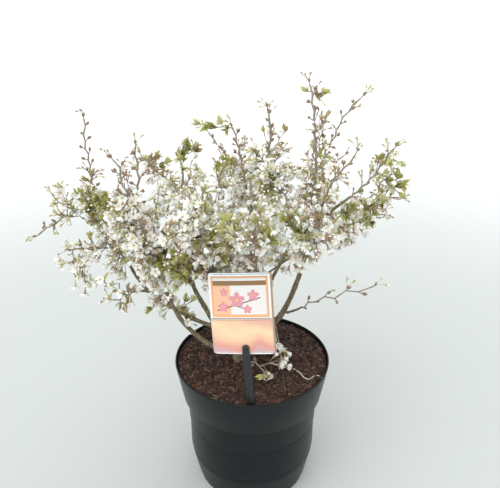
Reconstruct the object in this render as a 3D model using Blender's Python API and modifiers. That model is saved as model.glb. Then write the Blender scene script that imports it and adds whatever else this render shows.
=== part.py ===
"""A dwarf fuji cherry in early blossom: a bushy young shrub, wider than it is tall, in a black nursery pot.

The shrub stands near the middle of a 5 litre pot that is filled with potting soil to just under its rim.
A short trunk forks close above the soil. Its boughs each end at one mass of zigzag twigs with leaves and
blossoms.
Metres, +Z up, +Y away from the viewer. The origin is the middle of the pot's flat underside.
"""

import math
from collections import namedtuple

import bmesh
import bpy
import numpy as np
from mathutils import Matrix

# Driving sizes of the pot and its soil.
POT_HEIGHT = 0.190
RIM_RADIUS = 0.1115
BAND_FOOT = 0.1355
BAND_FOOT_RADIUS = 0.1010
BODY_TOP_RADIUS = 0.0945
UPPER_STEP = 0.098
UPPER_STEP_RADIUS = 0.0935
LOWER_STEP = 0.050
LOWER_STEP_RADIUS = 0.0917
FOOT_BEVEL = 0.040
FOOT_BEVEL_RADIUS = 0.0900
FOOT_RADIUS = 0.0805
STEP_DEPTH = 0.0012
WALL = 0.0020
POT_SIDES = 32
DRAIN_SLOTS = 8
SLOT_SIZE = (0.020, 0.013, 0.016)
SLOT_RADIUS = 0.087
SOIL_TOP = 0.1855

# Touching solids keep this gap to each other.
GAP = 0.0003

# Points nearer than this are one point.
SAME_POINT = 0.000001

# The trunk: where it leaves the soil, and its radius at shares of its height.
TRUNK_FOOT = (-0.018, -0.004)
TRUNK_HEIGHT = 0.042
TRUNK_LEAN = (-0.003, -0.002)
TRUNK_UPRIGHT = 0.10
TRUNK_TAPER = ((0.0, 0.0130), (0.10, 0.0105), (0.28, 0.0090), (0.65, 0.0082), (0.90, 0.0066), (1.0, 0.0040))

# Boughs keep this share of their foot's radius at the tip, and kink a little at every node.
BOUGH_TAPER = 0.55
BOUGH_KINK = 0.0016
BOUGH_STEPS = 5

# How round the limbs are: the trunk has sixteen sides, a bough eight.
TRUNK_ROUNDNESS = 3
BOUGH_ROUNDNESS = 1

# Each bough leaves its carrier at a share of the carrier's length and runs to its tip, pulled towards the
# bend on its way. The foot is its radius where it leaves.
Bough = namedtuple("Bough", "carrier leaves bend tip foot")
BOUGHS = {
    "bough_left_low": Bough("trunk", 0.36, (-0.109, 0.020, 0.181), (-0.138, -0.010, 0.369), 0.0040),
    "bough_left_fore": Bough("bough_left_low", 0.76, (-0.160, -0.022, 0.375), (-0.160, -0.032, 0.439), 0.0022),
    "bough_left_up": Bough("trunk", 0.70, (-0.103, 0.048, 0.239), (-0.095, 0.050, 0.382), 0.0042),
    "bough_left_arm": Bough("bough_left_up", 0.14, (-0.161, 0.032, 0.261), (-0.176, 0.020, 0.330), 0.0032),
    "bough_left_outer": Bough("bough_left_arm", 0.92, (-0.182, 0.036, 0.354), (-0.194, 0.044, 0.385), 0.0018),
    "bough_left_rise": Bough("bough_left_arm", 0.78, (-0.197, 0.060, 0.335), (-0.224, 0.075, 0.411), 0.0020),
    "bough_left_droop": Bough("bough_left_arm", 0.66, (-0.152, 0.006, 0.295), (-0.164, -0.008, 0.298), 0.0021),
    "bough_inner": Bough("bough_left_up", 0.58, (-0.074, 0.025, 0.324), (-0.059, 0.012, 0.381), 0.0027),
    "bough_right": Bough("trunk", 0.72, (0.073, 0.034, 0.211), (0.081, 0.000, 0.432), 0.0048),
    "bough_right_low": Bough("bough_right", 0.72, (0.097, 0.024, 0.381), (0.126, 0.034, 0.396), 0.0028),
    "bough_right_outer": Bough("bough_right", 0.80, (0.098, -0.008, 0.416), (0.128, -0.012, 0.440), 0.0027),
    "bough_right_rise": Bough("bough_right", 0.88, (0.095, 0.030, 0.426), (0.099, 0.046, 0.453), 0.0025),
    "bough_right_fore": Bough("bough_right", 0.64, (0.090, -0.030, 0.404), (0.087, -0.058, 0.450), 0.0026),
    "bough_right_twig": Bough("bough_right", 0.30, (0.053, -0.002, 0.260), (0.070, -0.014, 0.278), 0.0020),
    "bough_centre": Bough("trunk", 0.97, (0.007, 0.036, 0.308), (0.019, 0.034, 0.413), 0.0034),
    "bough_centre_rise": Bough("bough_centre", 0.66, (-0.005, 0.052, 0.379), (-0.009, 0.064, 0.430), 0.0022),
    "bough_back_high": Bough("bough_centre", 0.50, (-0.007, 0.085, 0.347), (-0.021, 0.122, 0.412), 0.0024),
    "bough_front_left": Bough("trunk", 0.42, (-0.031, -0.050, 0.223), (-0.052, -0.050, 0.361), 0.0034),
    "bough_front": Bough("bough_front_left", 0.50, (-0.010, -0.050, 0.312), (-0.001, -0.056, 0.369), 0.0024),
    "bough_front_right": Bough("bough_front", 0.30, (0.012, -0.050, 0.345), (0.049, -0.056, 0.375), 0.0018),
    "bough_back": Bough("trunk", 0.66, (-0.005, 0.115, 0.220), (-0.007, 0.150, 0.346), 0.0036),
    "bough_back_left": Bough("bough_back", 0.30, (-0.071, 0.110, 0.274), (-0.108, 0.135, 0.368), 0.0030),
    "bough_back_left_low": Bough(
        "bough_back_left", 0.50, (-0.101, 0.135, 0.294), (-0.131, 0.155, 0.313), 0.0024
    ),
    "bough_back_right": Bough("trunk", 0.42, (0.016, 0.100, 0.220), (0.075, 0.122, 0.349), 0.0038),
    "bough_back_right_low": Bough(
        "bough_back_right", 0.70, (0.080, 0.115, 0.311), (0.120, 0.122, 0.329), 0.0026
    ),
}

# Each mass grows on from one bough. Its leading shoot runs to the tip, and its side twigs reach out by the
# spread. Twigs is how many side twigs it tries, and bare is the share of them that are only buds.
Mass = namedtuple("Mass", "bough tip spread twigs bare seed")
MASSES = {
    "mass_left_tall": Mass("bough_left_low", (-0.146, -0.030, 0.524), 0.050, 5, 0.3, 11),
    "mass_left_fore": Mass("bough_left_fore", (-0.170, -0.052, 0.511), 0.050, 5, 0.3, 12),
    "mass_far_left": Mass("bough_left_outer", (-0.315, 0.038, 0.358), 0.062, 5, 0.0, 13),
    "mass_left_high": Mass("bough_left_rise", (-0.234, 0.078, 0.535), 0.048, 5, 0.2, 14),
    "mass_left_low": Mass("bough_left_arm", (-0.259, 0.004, 0.356), 0.052, 5, 0.0, 15),
    "mass_left_droop": Mass("bough_left_droop", (-0.200, -0.024, 0.288), 0.034, 3, 0.0, 46),
    "mass_inner_left": Mass("bough_left_up", (-0.101, 0.044, 0.491), 0.060, 5, 0.0, 17),
    "mass_inner": Mass("bough_inner", (-0.041, -0.010, 0.470), 0.060, 5, 0.0, 18),
    "mass_top": Mass("bough_right", (0.071, 0.000, 0.596), 0.062, 7, 0.0, 19),
    "mass_right_low": Mass("bough_right_low", (0.217, 0.040, 0.421), 0.054, 5, 0.0, 20),
    "mass_right": Mass("bough_right_outer", (0.179, -0.030, 0.520), 0.050, 5, 0.0, 21),
    "mass_upper_right": Mass("bough_right_rise", (0.154, 0.070, 0.563), 0.050, 5, 0.2, 22),
    "mass_mid_right": Mass("bough_right_fore", (0.125, -0.088, 0.526), 0.056, 5, 0.0, 23),
    "mass_low_right": Mass("bough_right_twig", (0.173, -0.030, 0.317), 0.024, 4, 0.5, 47),
    "mass_centre": Mass("bough_centre", (0.019, 0.010, 0.563), 0.058, 6, 0.0, 25),
    "mass_centre_left": Mass("bough_centre_rise", (-0.029, 0.060, 0.526), 0.048, 5, 0.2, 26),
    "mass_back_high": Mass("bough_back_high", (-0.074, 0.145, 0.497), 0.060, 5, 0.0, 27),
    "mass_front_left": Mass("bough_front_left", (-0.093, -0.125, 0.438), 0.062, 6, 0.0, 28),
    "mass_front": Mass("bough_front", (-0.014, -0.150, 0.434), 0.060, 6, 0.0, 29),
    "mass_front_right": Mass("bough_front_right", (0.085, -0.138, 0.429), 0.062, 6, 0.0, 30),
    "mass_back_left": Mass("bough_back_left", (-0.190, 0.195, 0.444), 0.062, 5, 0.0, 31),
    "mass_back_left_low": Mass("bough_back_left_low", (-0.219, 0.225, 0.326), 0.056, 5, 0.0, 32),
    "mass_back": Mass("bough_back", (-0.015, 0.245, 0.412), 0.062, 6, 0.0, 33),
    "mass_back_right": Mass("bough_back_right", (0.155, 0.195, 0.444), 0.062, 5, 0.0, 34),
    "mass_back_right_low": Mass("bough_back_right_low", (0.221, 0.170, 0.338), 0.054, 5, 0.0, 35),
    "mass_low_front": Mass("trunk", (0.022, -0.058, 0.203), 0.020, 3, 0.0, 36),
}

# Leading shoots and side twigs. The low shoot springs from the trunk's side at a share of its height.
LOW_SHOOT_LEAVES = 0.30
LOW_SHOOT_WAY = (0.50, -1.0, 0.10)
LOW_SHOOT_RADIUS = 0.0016
SHOOT_LEAD = 0.006
SHOOT_BEND = 0.35
SHOOT_STEPS = 4
SHOOT_KINK = 0.0030
END_TUFT = 0.016
SHOOT_TIP_RADIUS = 0.0011
TWIG_RADIUS = 0.0014
TWIG_TAPER = 0.7
TWIG_ANGLE = math.radians(55)
TWIG_RISE = 0.20
GOLDEN_ANGLE = math.radians(137.5)
NEARBY = 0.04
FIRST_TWIG = 0.22
LAST_TWIG = 0.95
FULL_TWIG = 1.12
TWIG_FALL = 0.80
TWIG_RANGE = (0.85, 1.10)
SHORTEST_TWIG = 0.010
CUT_BACK = 0.85
JUDGED_SHARES = (0.5, 0.75, 1.0)

# Leaves and blossoms. In these solids each one stands for a small tuft.
LEAF_LENGTH = 0.033
LEAF_WIDTH = 0.0150
LEAF_THICKNESS = 0.0016
BLOSSOM_RADIUS = 0.0150
BLOSSOM_DEPTH = 0.0100
ROOT_SUNK = 0.0022
BLOSSOM_SHARE = 0.60
BUD_SIZE = 0.42
FULL_TUFT = 1.1
TUFT_FALL = 0.40
TUFT_RANGE = (0.85, 1.15)
TUFT_SWAY = 0.35
END_TUFT_SIZE = 0.7
BACK_TUFT = 0.55
BACK_TUFT_LEAN = 0.4

# Room that growth keeps to limbs, to another mass's space, and to the soil and label. A mass reaches this
# many times its spread from its shoot.
REACH = 1.25
CLEAR_OF_LIMB = 0.0015
CLEAR_OF_NEIGHBOUR = 0.0012
CLEAR_OF_GROUND = 0.006
LABEL_ROOM = (0.052, 0.020, 0.094)
LABEL_ROOM_MIDDLE = (-0.004, 0.004, 0.030)

# The label: a folded card on a black holder that stands in the soil near the front of the rim.
CARD_WIDTH = 0.079
CARD_LOWER = 0.050
CARD_UPPER = 0.059
CARD_THICKNESS = 0.0008
CARD_LEAN = math.radians(4)
CARD_FOLD = math.radians(7)
CARD_ROLL = math.radians(-5)
CARD_TURN = math.radians(-8)
CARD_FOOT = (-0.0105, -0.090, 0.254)
HOLDER_WIDTH = 0.0105
HOLDER_THICKNESS = 0.0024
HOLDER_FOOT = (-0.0015, -0.1035)
KNOB_RADIUS = 0.0048
KNOB_DEPTH = 0.0032
KNOB_TAPER = 0.8
KNOB_FORWARD = 0.0002
KNOB_PLACE = (0.003, 0.009)

UP = np.array([0.0, 0.0, 1.0])


def clear_scene():
    for item in list(bpy.data.objects):
        bpy.data.objects.remove(item)


def collection(name):
    made = bpy.data.collections.new(name)
    bpy.context.scene.collection.children.link(made)
    return made


def material(name, color, roughness):
    made = bpy.data.materials.new(name)
    made.use_nodes = True
    shader = made.node_tree.nodes["Principled BSDF"]
    shader.inputs["Base Color"].default_value = (*color, 1.0)
    shader.inputs["Roughness"].default_value = roughness
    shader.inputs["Metallic"].default_value = 0.0
    return made


def add_object(name, mesh, home, finish=None):
    made = bpy.data.objects.new(name, mesh)
    home.objects.link(made)
    if finish:
        mesh.materials.clear()
        mesh.materials.append(finish)
    return made


def mesh_from_bmesh(name, shape):
    mesh = bpy.data.meshes.new(name)
    shape.to_mesh(mesh)
    shape.free()
    return mesh


def evaluated_mesh(item):
    """The mesh of an object as its modifiers or its bevel leave it, with doubled points welded."""
    graph = bpy.context.evaluated_depsgraph_get()
    graph.update()
    mesh = bpy.data.meshes.new_from_object(item.evaluated_get(graph))
    shape = bmesh.new()
    shape.from_mesh(mesh)
    bmesh.ops.remove_doubles(shape, verts=shape.verts, dist=SAME_POINT)
    bmesh.ops.recalc_face_normals(shape, faces=shape.faces)
    shape.to_mesh(mesh)
    shape.free()
    return mesh


def unit(vector):
    return vector / np.linalg.norm(vector)


# Turned pieces: the pot's shell and the soil in it.


def turned(name, profile, home, finish):
    """A profile of (radius, height) points turned about the Z axis. It runs down its outer side."""
    mesh = bpy.data.meshes.new(name)
    points = [(radius, 0.0, height) for radius, height in profile]
    mesh.from_pydata(points, [(i, i + 1) for i in range(len(points) - 1)], [])
    item = add_object(name, mesh, home, finish)
    screw = item.modifiers.new("turn", "SCREW")
    screw.axis = "Z"
    screw.steps = screw.render_steps = POT_SIDES
    screw.use_merge_vertices = True
    screw.merge_threshold = 0.00005
    return item


def inner_wall():
    """The pot's inside, from the floor's edge up to the rim."""
    return [
        (FOOT_RADIUS - WALL, 2 * WALL),
        (FOOT_BEVEL_RADIUS - 1.5 * WALL, FOOT_BEVEL + WALL),
        (BODY_TOP_RADIUS - WALL, BAND_FOOT),
        (BAND_FOOT_RADIUS - WALL, BAND_FOOT + WALL),
        (RIM_RADIUS - WALL, POT_HEIGHT),
    ]


def outer_wall():
    """The pot's outside, from the rim down to the foot: a wide band, a body with two steps and a
    bevelled foot."""
    return [
        (RIM_RADIUS - STEP_DEPTH / 2, POT_HEIGHT),
        (RIM_RADIUS, POT_HEIGHT - STEP_DEPTH),
        (BAND_FOOT_RADIUS, BAND_FOOT),
        (BODY_TOP_RADIUS, BAND_FOOT - WALL),
        (UPPER_STEP_RADIUS, UPPER_STEP),
        (UPPER_STEP_RADIUS - STEP_DEPTH, UPPER_STEP - STEP_DEPTH),
        (LOWER_STEP_RADIUS, LOWER_STEP),
        (LOWER_STEP_RADIUS - STEP_DEPTH, LOWER_STEP - STEP_DEPTH),
        (FOOT_BEVEL_RADIUS, FOOT_BEVEL),
        (FOOT_RADIUS, 0.0),
    ]


def make_pot(home, tools, finish):
    profile = [(0.0, 2 * WALL), *inner_wall(), *outer_wall(), (0.0, 0.0)]
    pot = turned("pot", profile, home, finish)
    for i in range(DRAIN_SLOTS):
        angle = 2 * math.pi * (i + 0.5) / DRAIN_SLOTS
        bpy.ops.mesh.primitive_cube_add(size=1.0)
        slot = bpy.context.object
        slot.name = f"drain_slot_cutter_{i + 1}"
        slot.scale = SLOT_SIZE
        slot.rotation_euler = (0.0, 0.0, angle)
        slot.location = (SLOT_RADIUS * math.cos(angle), SLOT_RADIUS * math.sin(angle), 0.0)
        for holder in list(slot.users_collection):
            holder.objects.unlink(slot)
        tools.objects.link(slot)
        slot.hide_render = True
        slot.display_type = "WIRE"
        cut = pot.modifiers.new(f"drain_{i + 1}", "BOOLEAN")
        cut.operation = "DIFFERENCE"
        cut.object = slot
    return pot


def make_soil(home, finish):
    """The potting soil: it fills the pot to its level top, one gap clear of the wall and floor."""
    floor, bevel, shoulder, band, _ = inner_wall()
    share = (SOIL_TOP - band[1]) / (POT_HEIGHT - band[1])
    top_radius = band[0] + share * (RIM_RADIUS - WALL - band[0])
    clear = 2 * GAP
    profile = [
        (0.0, SOIL_TOP),
        (top_radius - clear, SOIL_TOP),
        (band[0] - clear, band[1] + clear),
        (shoulder[0] - clear, shoulder[1] + clear),
        (bevel[0] - clear, bevel[1] + clear),
        (floor[0] - clear, floor[1] + GAP),
        (0.0, floor[1] + GAP),
    ]
    return turned("soil", profile, home, finish)


# Limbs: the trunk and its boughs.


def arc(start, bend, tip, kink, steps):
    """A route from start to tip, pulled towards the bend, with kinks that change side at every node
    between its ends."""
    start, bend, tip = np.array(start), np.array(bend), np.array(tip)
    share = np.linspace(0.0, 1.0, steps + 1)[:, None]
    smooth = (1 - share) ** 2 * start + 2 * share * (1 - share) * bend + share**2 * tip
    side = unit(np.cross(tip - start, UP) + np.array([0.0, 1e-6, 0.0]))
    turn = (-1.0) ** np.arange(steps + 1)[:, None]
    inner = ((share > 0) & (share < 1)).astype(float)
    return smooth + kink * inner * turn * side


def along(points, share):
    """The point at a share of a route's length."""
    steps = np.linalg.norm(np.diff(points, axis=0), axis=1)
    run = np.concatenate([[0.0], np.cumsum(steps)]) / steps.sum()
    return np.array([np.interp(share, run, points[:, axis]) for axis in range(3)])


def trunk_route():
    """Straight up out of the soil for the flat cut, then leaning to the fork."""
    foot = np.array([*TRUNK_FOOT, SOIL_TOP + GAP])
    shares = np.array([share for share, _ in TRUNK_TAPER])
    lean = np.array([*TRUNK_LEAN, 0.0])
    leaning = np.maximum(shares - TRUNK_UPRIGHT, 0) ** 2
    return foot + shares[:, None] * TRUNK_HEIGHT * UP + leaning[:, None] * lean


def limb_radii(name):
    if name == "trunk":
        return np.array([radius for _, radius in TRUNK_TAPER])
    foot = BOUGHS[name].foot
    return foot * np.linspace(1.0, BOUGH_TAPER, BOUGH_STEPS + 1)


def limb_routes():
    routes = {"trunk": trunk_route()}
    for name, bough in BOUGHS.items():
        start = along(routes[bough.carrier], bough.leaves)
        routes[name] = arc(start, bough.bend, bough.tip, BOUGH_KINK, BOUGH_STEPS)
    return routes


def triangle_section():
    """A three-cornered section of radius 1 for slim shoots."""
    curve = bpy.data.curves.new("three_sided", "CURVE")
    curve.dimensions = "2D"
    spline = curve.splines.new("POLY")
    spline.points.add(2)
    spline.use_cyclic_u = True
    for i, point in enumerate(spline.points):
        turn = 2 * math.pi * i / 3
        point.co = (math.cos(turn), math.sin(turn), 0.0, 1.0)
    return bpy.data.objects.new("three_sided", curve)


def tube(name, points, radii, resolution, home, section=None):
    """A closed tapering tube along a route, made as a bevelled curve and then turned into a mesh. It is
    round, or it follows a section."""
    curve = bpy.data.curves.new(name, "CURVE")
    curve.dimensions = "3D"
    if section:
        curve.bevel_mode = "OBJECT"
        curve.bevel_object = section
    else:
        curve.bevel_depth = 1.0
        curve.bevel_resolution = resolution
    curve.use_fill_caps = True
    spline = curve.splines.new("POLY")
    spline.points.add(len(points) - 1)
    for point, place, radius in zip(spline.points, points, radii):
        point.co = (*place, 1.0)
        point.radius = radius
    wire = bpy.data.objects.new(name + "_curve", curve)
    home.objects.link(wire)
    mesh = evaluated_mesh(wire)
    bpy.data.objects.remove(wire)
    bpy.data.curves.remove(curve)
    return add_object(name, mesh, home)


def subtract(item, cutter, kept_end):
    """Cuts item by cutter and removes the cutter. Only the body that holds the kept end stays."""
    cut = item.modifiers.new("cut", "BOOLEAN")
    cut.operation = "DIFFERENCE"
    cut.object = cutter
    mesh = evaluated_mesh(item)
    item.modifiers.clear()
    bpy.data.objects.remove(cutter)
    shape = bmesh.new()
    shape.from_mesh(mesh)
    kept = set()
    front = [min(shape.verts, key=lambda vertex: np.linalg.norm(np.array(vertex.co) - kept_end))]
    while front:
        kept.update(front)
        front = list({edge.other_vert(vertex) for vertex in front for edge in vertex.link_edges} - kept)
    bmesh.ops.delete(shape, geom=[vertex for vertex in shape.verts if vertex not in kept], context="VERTS")
    shape.to_mesh(mesh)
    shape.free()
    item.data = mesh


def lengthened(route):
    """A route drawn on by the gap at both its ends."""
    first = route[0] + GAP * unit(route[0] - route[1])
    last = route[-1] + GAP * unit(route[-1] - route[-2])
    return np.vstack([first, route[1:-1], last])


def make_limbs(routes, home, tools, finish):
    """Each bough's foot is saddled onto its carrier: cut by the carrier's own tube, swollen by the gap."""
    for name, points in routes.items():
        resolution = TRUNK_ROUNDNESS if name == "trunk" else BOUGH_ROUNDNESS
        limb = tube(name, points, limb_radii(name), resolution, home)
        if name != "trunk":
            carrier = BOUGHS[name].carrier
            resolution = TRUNK_ROUNDNESS if carrier == "trunk" else BOUGH_ROUNDNESS
            around = limb_radii(carrier) + GAP
            swollen = tube("saddle", lengthened(routes[carrier]), around, resolution, tools)
            subtract(limb, swollen, points[-1])
        limb.data.materials.clear()
        limb.data.materials.append(finish)


# Masses: shoots, side twigs, leaves and blossoms.


def distance_to_route(points, route):
    """The least distance from each point to a route, and how far along the route that is, as a share."""
    starts, runs = route[:-1], np.diff(route, axis=0)
    gaps = points[:, None, :] - starts[None, :, :]
    share = np.clip((gaps * runs).sum(2) / (runs * runs).sum(1), 0.0, 1.0)
    far = np.linalg.norm(gaps - share[:, :, None] * runs, axis=2)
    nearest = far.argmin(1)
    rows = np.arange(len(points))
    return far[rows, nearest], (nearest + share[rows, nearest]) / len(runs)


def shoot_start(mass, routes):
    """Where a mass's leading shoot starts, and its first direction: on from its bough's tip, or for the low
    twig out of the trunk's side."""
    if mass.bough == "trunk":
        foot = along(routes["trunk"], LOW_SHOOT_LEAVES)
        heading = unit(np.array(LOW_SHOOT_WAY))
        trunk_radius = np.interp(LOW_SHOOT_LEAVES, *np.array(TRUNK_TAPER).T)
        return foot + heading * (trunk_radius + 2 * GAP), heading, LOW_SHOOT_RADIUS
    route = routes[mass.bough]
    heading = unit(route[-1] - route[-2])
    return route[-1] + heading * GAP, heading, limb_radii(mass.bough)[-1]


def shoot_route(mass, routes):
    """The leading shoot: it first follows its bough, then bends to the mass's tip, zigzag at its nodes.
    It stops short of the tip by the tuft that stands on its end."""
    start, heading, _ = shoot_start(mass, routes)
    first = start + heading * SHOOT_LEAD
    tip = np.array(mass.tip)
    reach = np.linalg.norm(tip - first)
    bend = first + heading * reach * SHOOT_BEND
    tip = tip - unit(tip - bend) * END_TUFT
    return np.vstack([start, arc(first, bend, tip, SHOOT_KINK, SHOOT_STEPS)])


class Space:
    """The room that one mass may grow in: nearer its own shoot than any other mass's, and clear of limbs,
    soil, pot and label."""

    def __init__(self, name, shoots, routes):
        self.own = shoots[name]
        self.others = [route for other, route in shoots.items() if other != name]
        self.limbs = [(route, limb_radii(limb)) for limb, route in routes.items()]
        self.reach = MASSES[name].spread * REACH

    def holds(self, points, girth=0.0):
        points = np.atleast_2d(points)
        own, _ = distance_to_route(points, self.own)
        if (own > self.reach).any() or (points[:, 2] < SOIL_TOP + CLEAR_OF_GROUND + girth).any():
            return False
        for route in self.others:
            far, _ = distance_to_route(points, route)
            if (far < own + CLEAR_OF_NEIGHBOUR + 2 * girth).any():
                return False
        for route, radii in self.limbs:
            far, share = distance_to_route(points, route)
            thick = np.interp(share, np.linspace(0, 1, len(radii)), radii)
            if (far < thick + girth + CLEAR_OF_LIMB).any():
                return False
        return not self.meets_label(points, girth)

    def meets_label(self, points, girth):
        middle = np.array(CARD_FOOT) + LABEL_ROOM_MIDDLE
        return (np.abs(points - middle) < np.array(LABEL_ROOM) + girth).all(1).any()


def frame_along(heading, rng):
    """A turned set of axes whose first runs along the heading."""
    across = unit(np.cross(heading, unit(rng.normal(size=3))))
    return heading, across, np.cross(heading, across)


def placed(shape, axes, sizes, middle):
    turned_so = np.column_stack(axes) * sizes
    matrix = Matrix([[*row, place] for row, place in zip(turned_so, middle)] + [[0, 0, 0, 1]])
    bmesh.ops.transform(shape, matrix=matrix, verts=shape.verts)
    return shape


def leaf_shape(foot, heading, size, rng):
    """A pointed blade of eight faces. Its foot is sunk in the twig."""
    heading, across, normal = frame_along(heading, rng)
    length = LEAF_LENGTH * size
    shape = bmesh.new()
    bmesh.ops.create_uvsphere(shape, u_segments=4, v_segments=2, radius=1.0)
    sizes = np.array([length, LEAF_WIDTH * size, LEAF_THICKNESS]) / 2
    return placed(shape, (heading, across, normal), sizes, foot + heading * (length / 2 - ROOT_SUNK))


def blossom_shape(foot, heading, size, rng):
    """A shallow five-sided cup, its point sunk in the twig and its open face outward."""
    heading, across, normal = frame_along(heading, rng)
    radius, depth = BLOSSOM_RADIUS * size, BLOSSOM_DEPTH * size
    shape = bmesh.new()
    bmesh.ops.create_cone(
        shape, cap_ends=True, segments=5, radius1=radius, radius2=0.0, depth=depth
    )
    middle = foot + heading * (depth / 2 - ROOT_SUNK)
    return placed(shape, (across, -normal, -heading), np.ones(3), middle)


def twig_shape(foot, tip, radius):
    """A straight three-sided twig that tapers from its foot to its tip."""
    run = tip - foot
    length = np.linalg.norm(run)
    shape = bmesh.new()
    bmesh.ops.create_cone(
        shape, cap_ends=True, segments=3, radius1=radius, radius2=radius * TWIG_TAPER, depth=length
    )
    heading, across, normal = frame_along(run / length, np.random.default_rng(0))
    return placed(shape, (across, normal, heading), np.ones(3), (foot + tip) / 2)


def points_of(shape):
    return np.array([vertex.co for vertex in shape.verts])


def tuft(foot, heading, full, bare, space, rng):
    """What stands on one node of a twig: a blossom, a leaf, or a small bud that is a short leaf. Full is its
    size against the largest."""
    outward = unit(heading + TUFT_SWAY * rng.normal(size=3))
    size = full * rng.uniform(*TUFT_RANGE)
    if rng.random() < bare:
        shape = leaf_shape(foot, outward, BUD_SIZE * size, rng)
    elif rng.random() < BLOSSOM_SHARE:
        shape = blossom_shape(foot, outward, size, rng)
    else:
        shape = leaf_shape(foot, outward, size, rng)
    if space.holds(points_of(shape)):
        return [shape]
    shape.free()
    return []


def side_twig(foot, way, length, full, space, rng):
    """A side twig with one tuft on its tip and one further back. It is cut back until it keeps to its
    space, and dropped when too little is left."""
    while length > SHORTEST_TWIG and not space.holds(along_twig(foot, way, length), TWIG_RADIUS):
        length *= CUT_BACK
    if length <= SHORTEST_TWIG:
        return []
    tip = foot + way * length
    shapes = [twig_shape(foot, tip, TWIG_RADIUS)]
    across = unit(np.cross(way, unit(rng.normal(size=3))))
    shapes += tuft(tip, way, full, 0.0, space, rng)
    back = foot + way * length * BACK_TUFT
    shapes += tuft(back, unit(BACK_TUFT_LEAN * way + across), full, 0.0, space, rng)
    return shapes


def along_twig(foot, way, length):
    """Points on a twig's outer half, by which its room is judged."""
    return foot + np.array(JUDGED_SHARES)[:, None] * way * length


def twig_ways(name, shoot, rng):
    """The feet and directions of a mass's side twigs: evenly along its shoot, each turned on from the last
    by the golden angle, and lifted towards the light."""
    count = MASSES[name].twigs
    turn = rng.uniform(0, 2 * math.pi)
    for i in range(count):
        share = FIRST_TWIG + (LAST_TWIG - FIRST_TWIG) * i / (count - 1)
        heading = unit(along(shoot, share + NEARBY) - along(shoot, share - NEARBY))
        turn += GOLDEN_ANGLE
        across = unit(np.cross(heading, UP + np.array([0.01, 0.0, 0.0])))
        outward = math.cos(turn) * across + math.sin(turn) * np.cross(heading, across)
        way = math.cos(TWIG_ANGLE) * heading + math.sin(TWIG_ANGLE) * outward + TWIG_RISE * UP
        yield share, along(shoot, share), unit(way)


def grow(name, shoots, routes):
    """All the shapes of one mass but its leading shoot: side twigs, and tufts on them and on the shoot."""
    mass = MASSES[name]
    rng = np.random.default_rng(mass.seed)
    shoot = shoots[name]
    space = Space(name, shoots, routes)
    shapes = []
    for share, foot, way in twig_ways(name, shoot, rng):
        length = mass.spread * (FULL_TWIG - TWIG_FALL * share) * rng.uniform(*TWIG_RANGE)
        if rng.random() < mass.bare:
            shapes += tuft(foot, way, 1.0, 1.0, space, rng)
        else:
            shapes += side_twig(foot, way, length, FULL_TUFT - TUFT_FALL * share, space, rng)
    shapes += tuft(shoot[-1], unit(shoot[-1] - shoot[-2]), END_TUFT_SIZE, mass.bare, space, rng)
    return shapes


def join(item, shapes):
    """Fuses the shapes to an object: a single Boolean union on a collection, applied."""
    pieces = collection(item.name + "_pieces")
    for i, shape in enumerate(shapes):
        add_object(f"{item.name}_piece_{i}", mesh_from_bmesh("piece", shape), pieces)
    union = item.modifiers.new("join", "BOOLEAN")
    union.operation = "UNION"
    union.operand_type = "COLLECTION"
    union.collection = pieces
    union.solver = "MANIFOLD"
    mesh = evaluated_mesh(item)
    item.modifiers.clear()
    item.data = mesh
    for piece in list(pieces.objects):
        bpy.data.objects.remove(piece)
    bpy.data.collections.remove(pieces)


def make_masses(routes, home, finish):
    shoots = {name: shoot_route(mass, routes) for name, mass in MASSES.items()}
    section = triangle_section()
    for name, mass in MASSES.items():
        radii = np.linspace(shoot_start(mass, routes)[2], SHOOT_TIP_RADIUS, len(shoots[name]))
        item = tube(name, shoots[name], radii, 0, home, section)
        join(item, grow(name, shoots, routes))
        item.data.materials.clear()
        item.data.materials.append(finish)


# The label and its holder.


def on_label(points):
    """Points given across, back from and up the label, set in place: rolled a little, turned to the left, and
    moved to the card's foot."""
    turned_so = Matrix.Rotation(CARD_TURN, 4, "Z") @ Matrix.Rotation(CARD_ROLL, 4, "Y")
    return np.array(points) @ np.array(turned_so.to_3x3()).T + CARD_FOOT


def make_card(home, finish):
    """A card folded once across its middle: both halves lean back, the upper one a little more."""
    shape = bmesh.new()
    bmesh.ops.create_grid(shape, x_segments=1, y_segments=2, size=0.5)
    for vertex in shape.verts:
        rise = (vertex.co.y + 0.5) * 2
        lower, upper = min(rise, 1.0) * CARD_LOWER, max(rise - 1.0, 0.0) * CARD_UPPER
        back = lower * math.sin(CARD_LEAN) + upper * math.sin(CARD_LEAN + CARD_FOLD)
        high = lower * math.cos(CARD_LEAN) + upper * math.cos(CARD_LEAN + CARD_FOLD)
        vertex.co = on_label((vertex.co.x * CARD_WIDTH, back, high))
    card = add_object("label_card", mesh_from_bmesh("label_card", shape), home, finish)
    thick = card.modifiers.new("thickness", "SOLIDIFY")
    thick.thickness = CARD_THICKNESS
    thick.offset = 0.0
    return card


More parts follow.
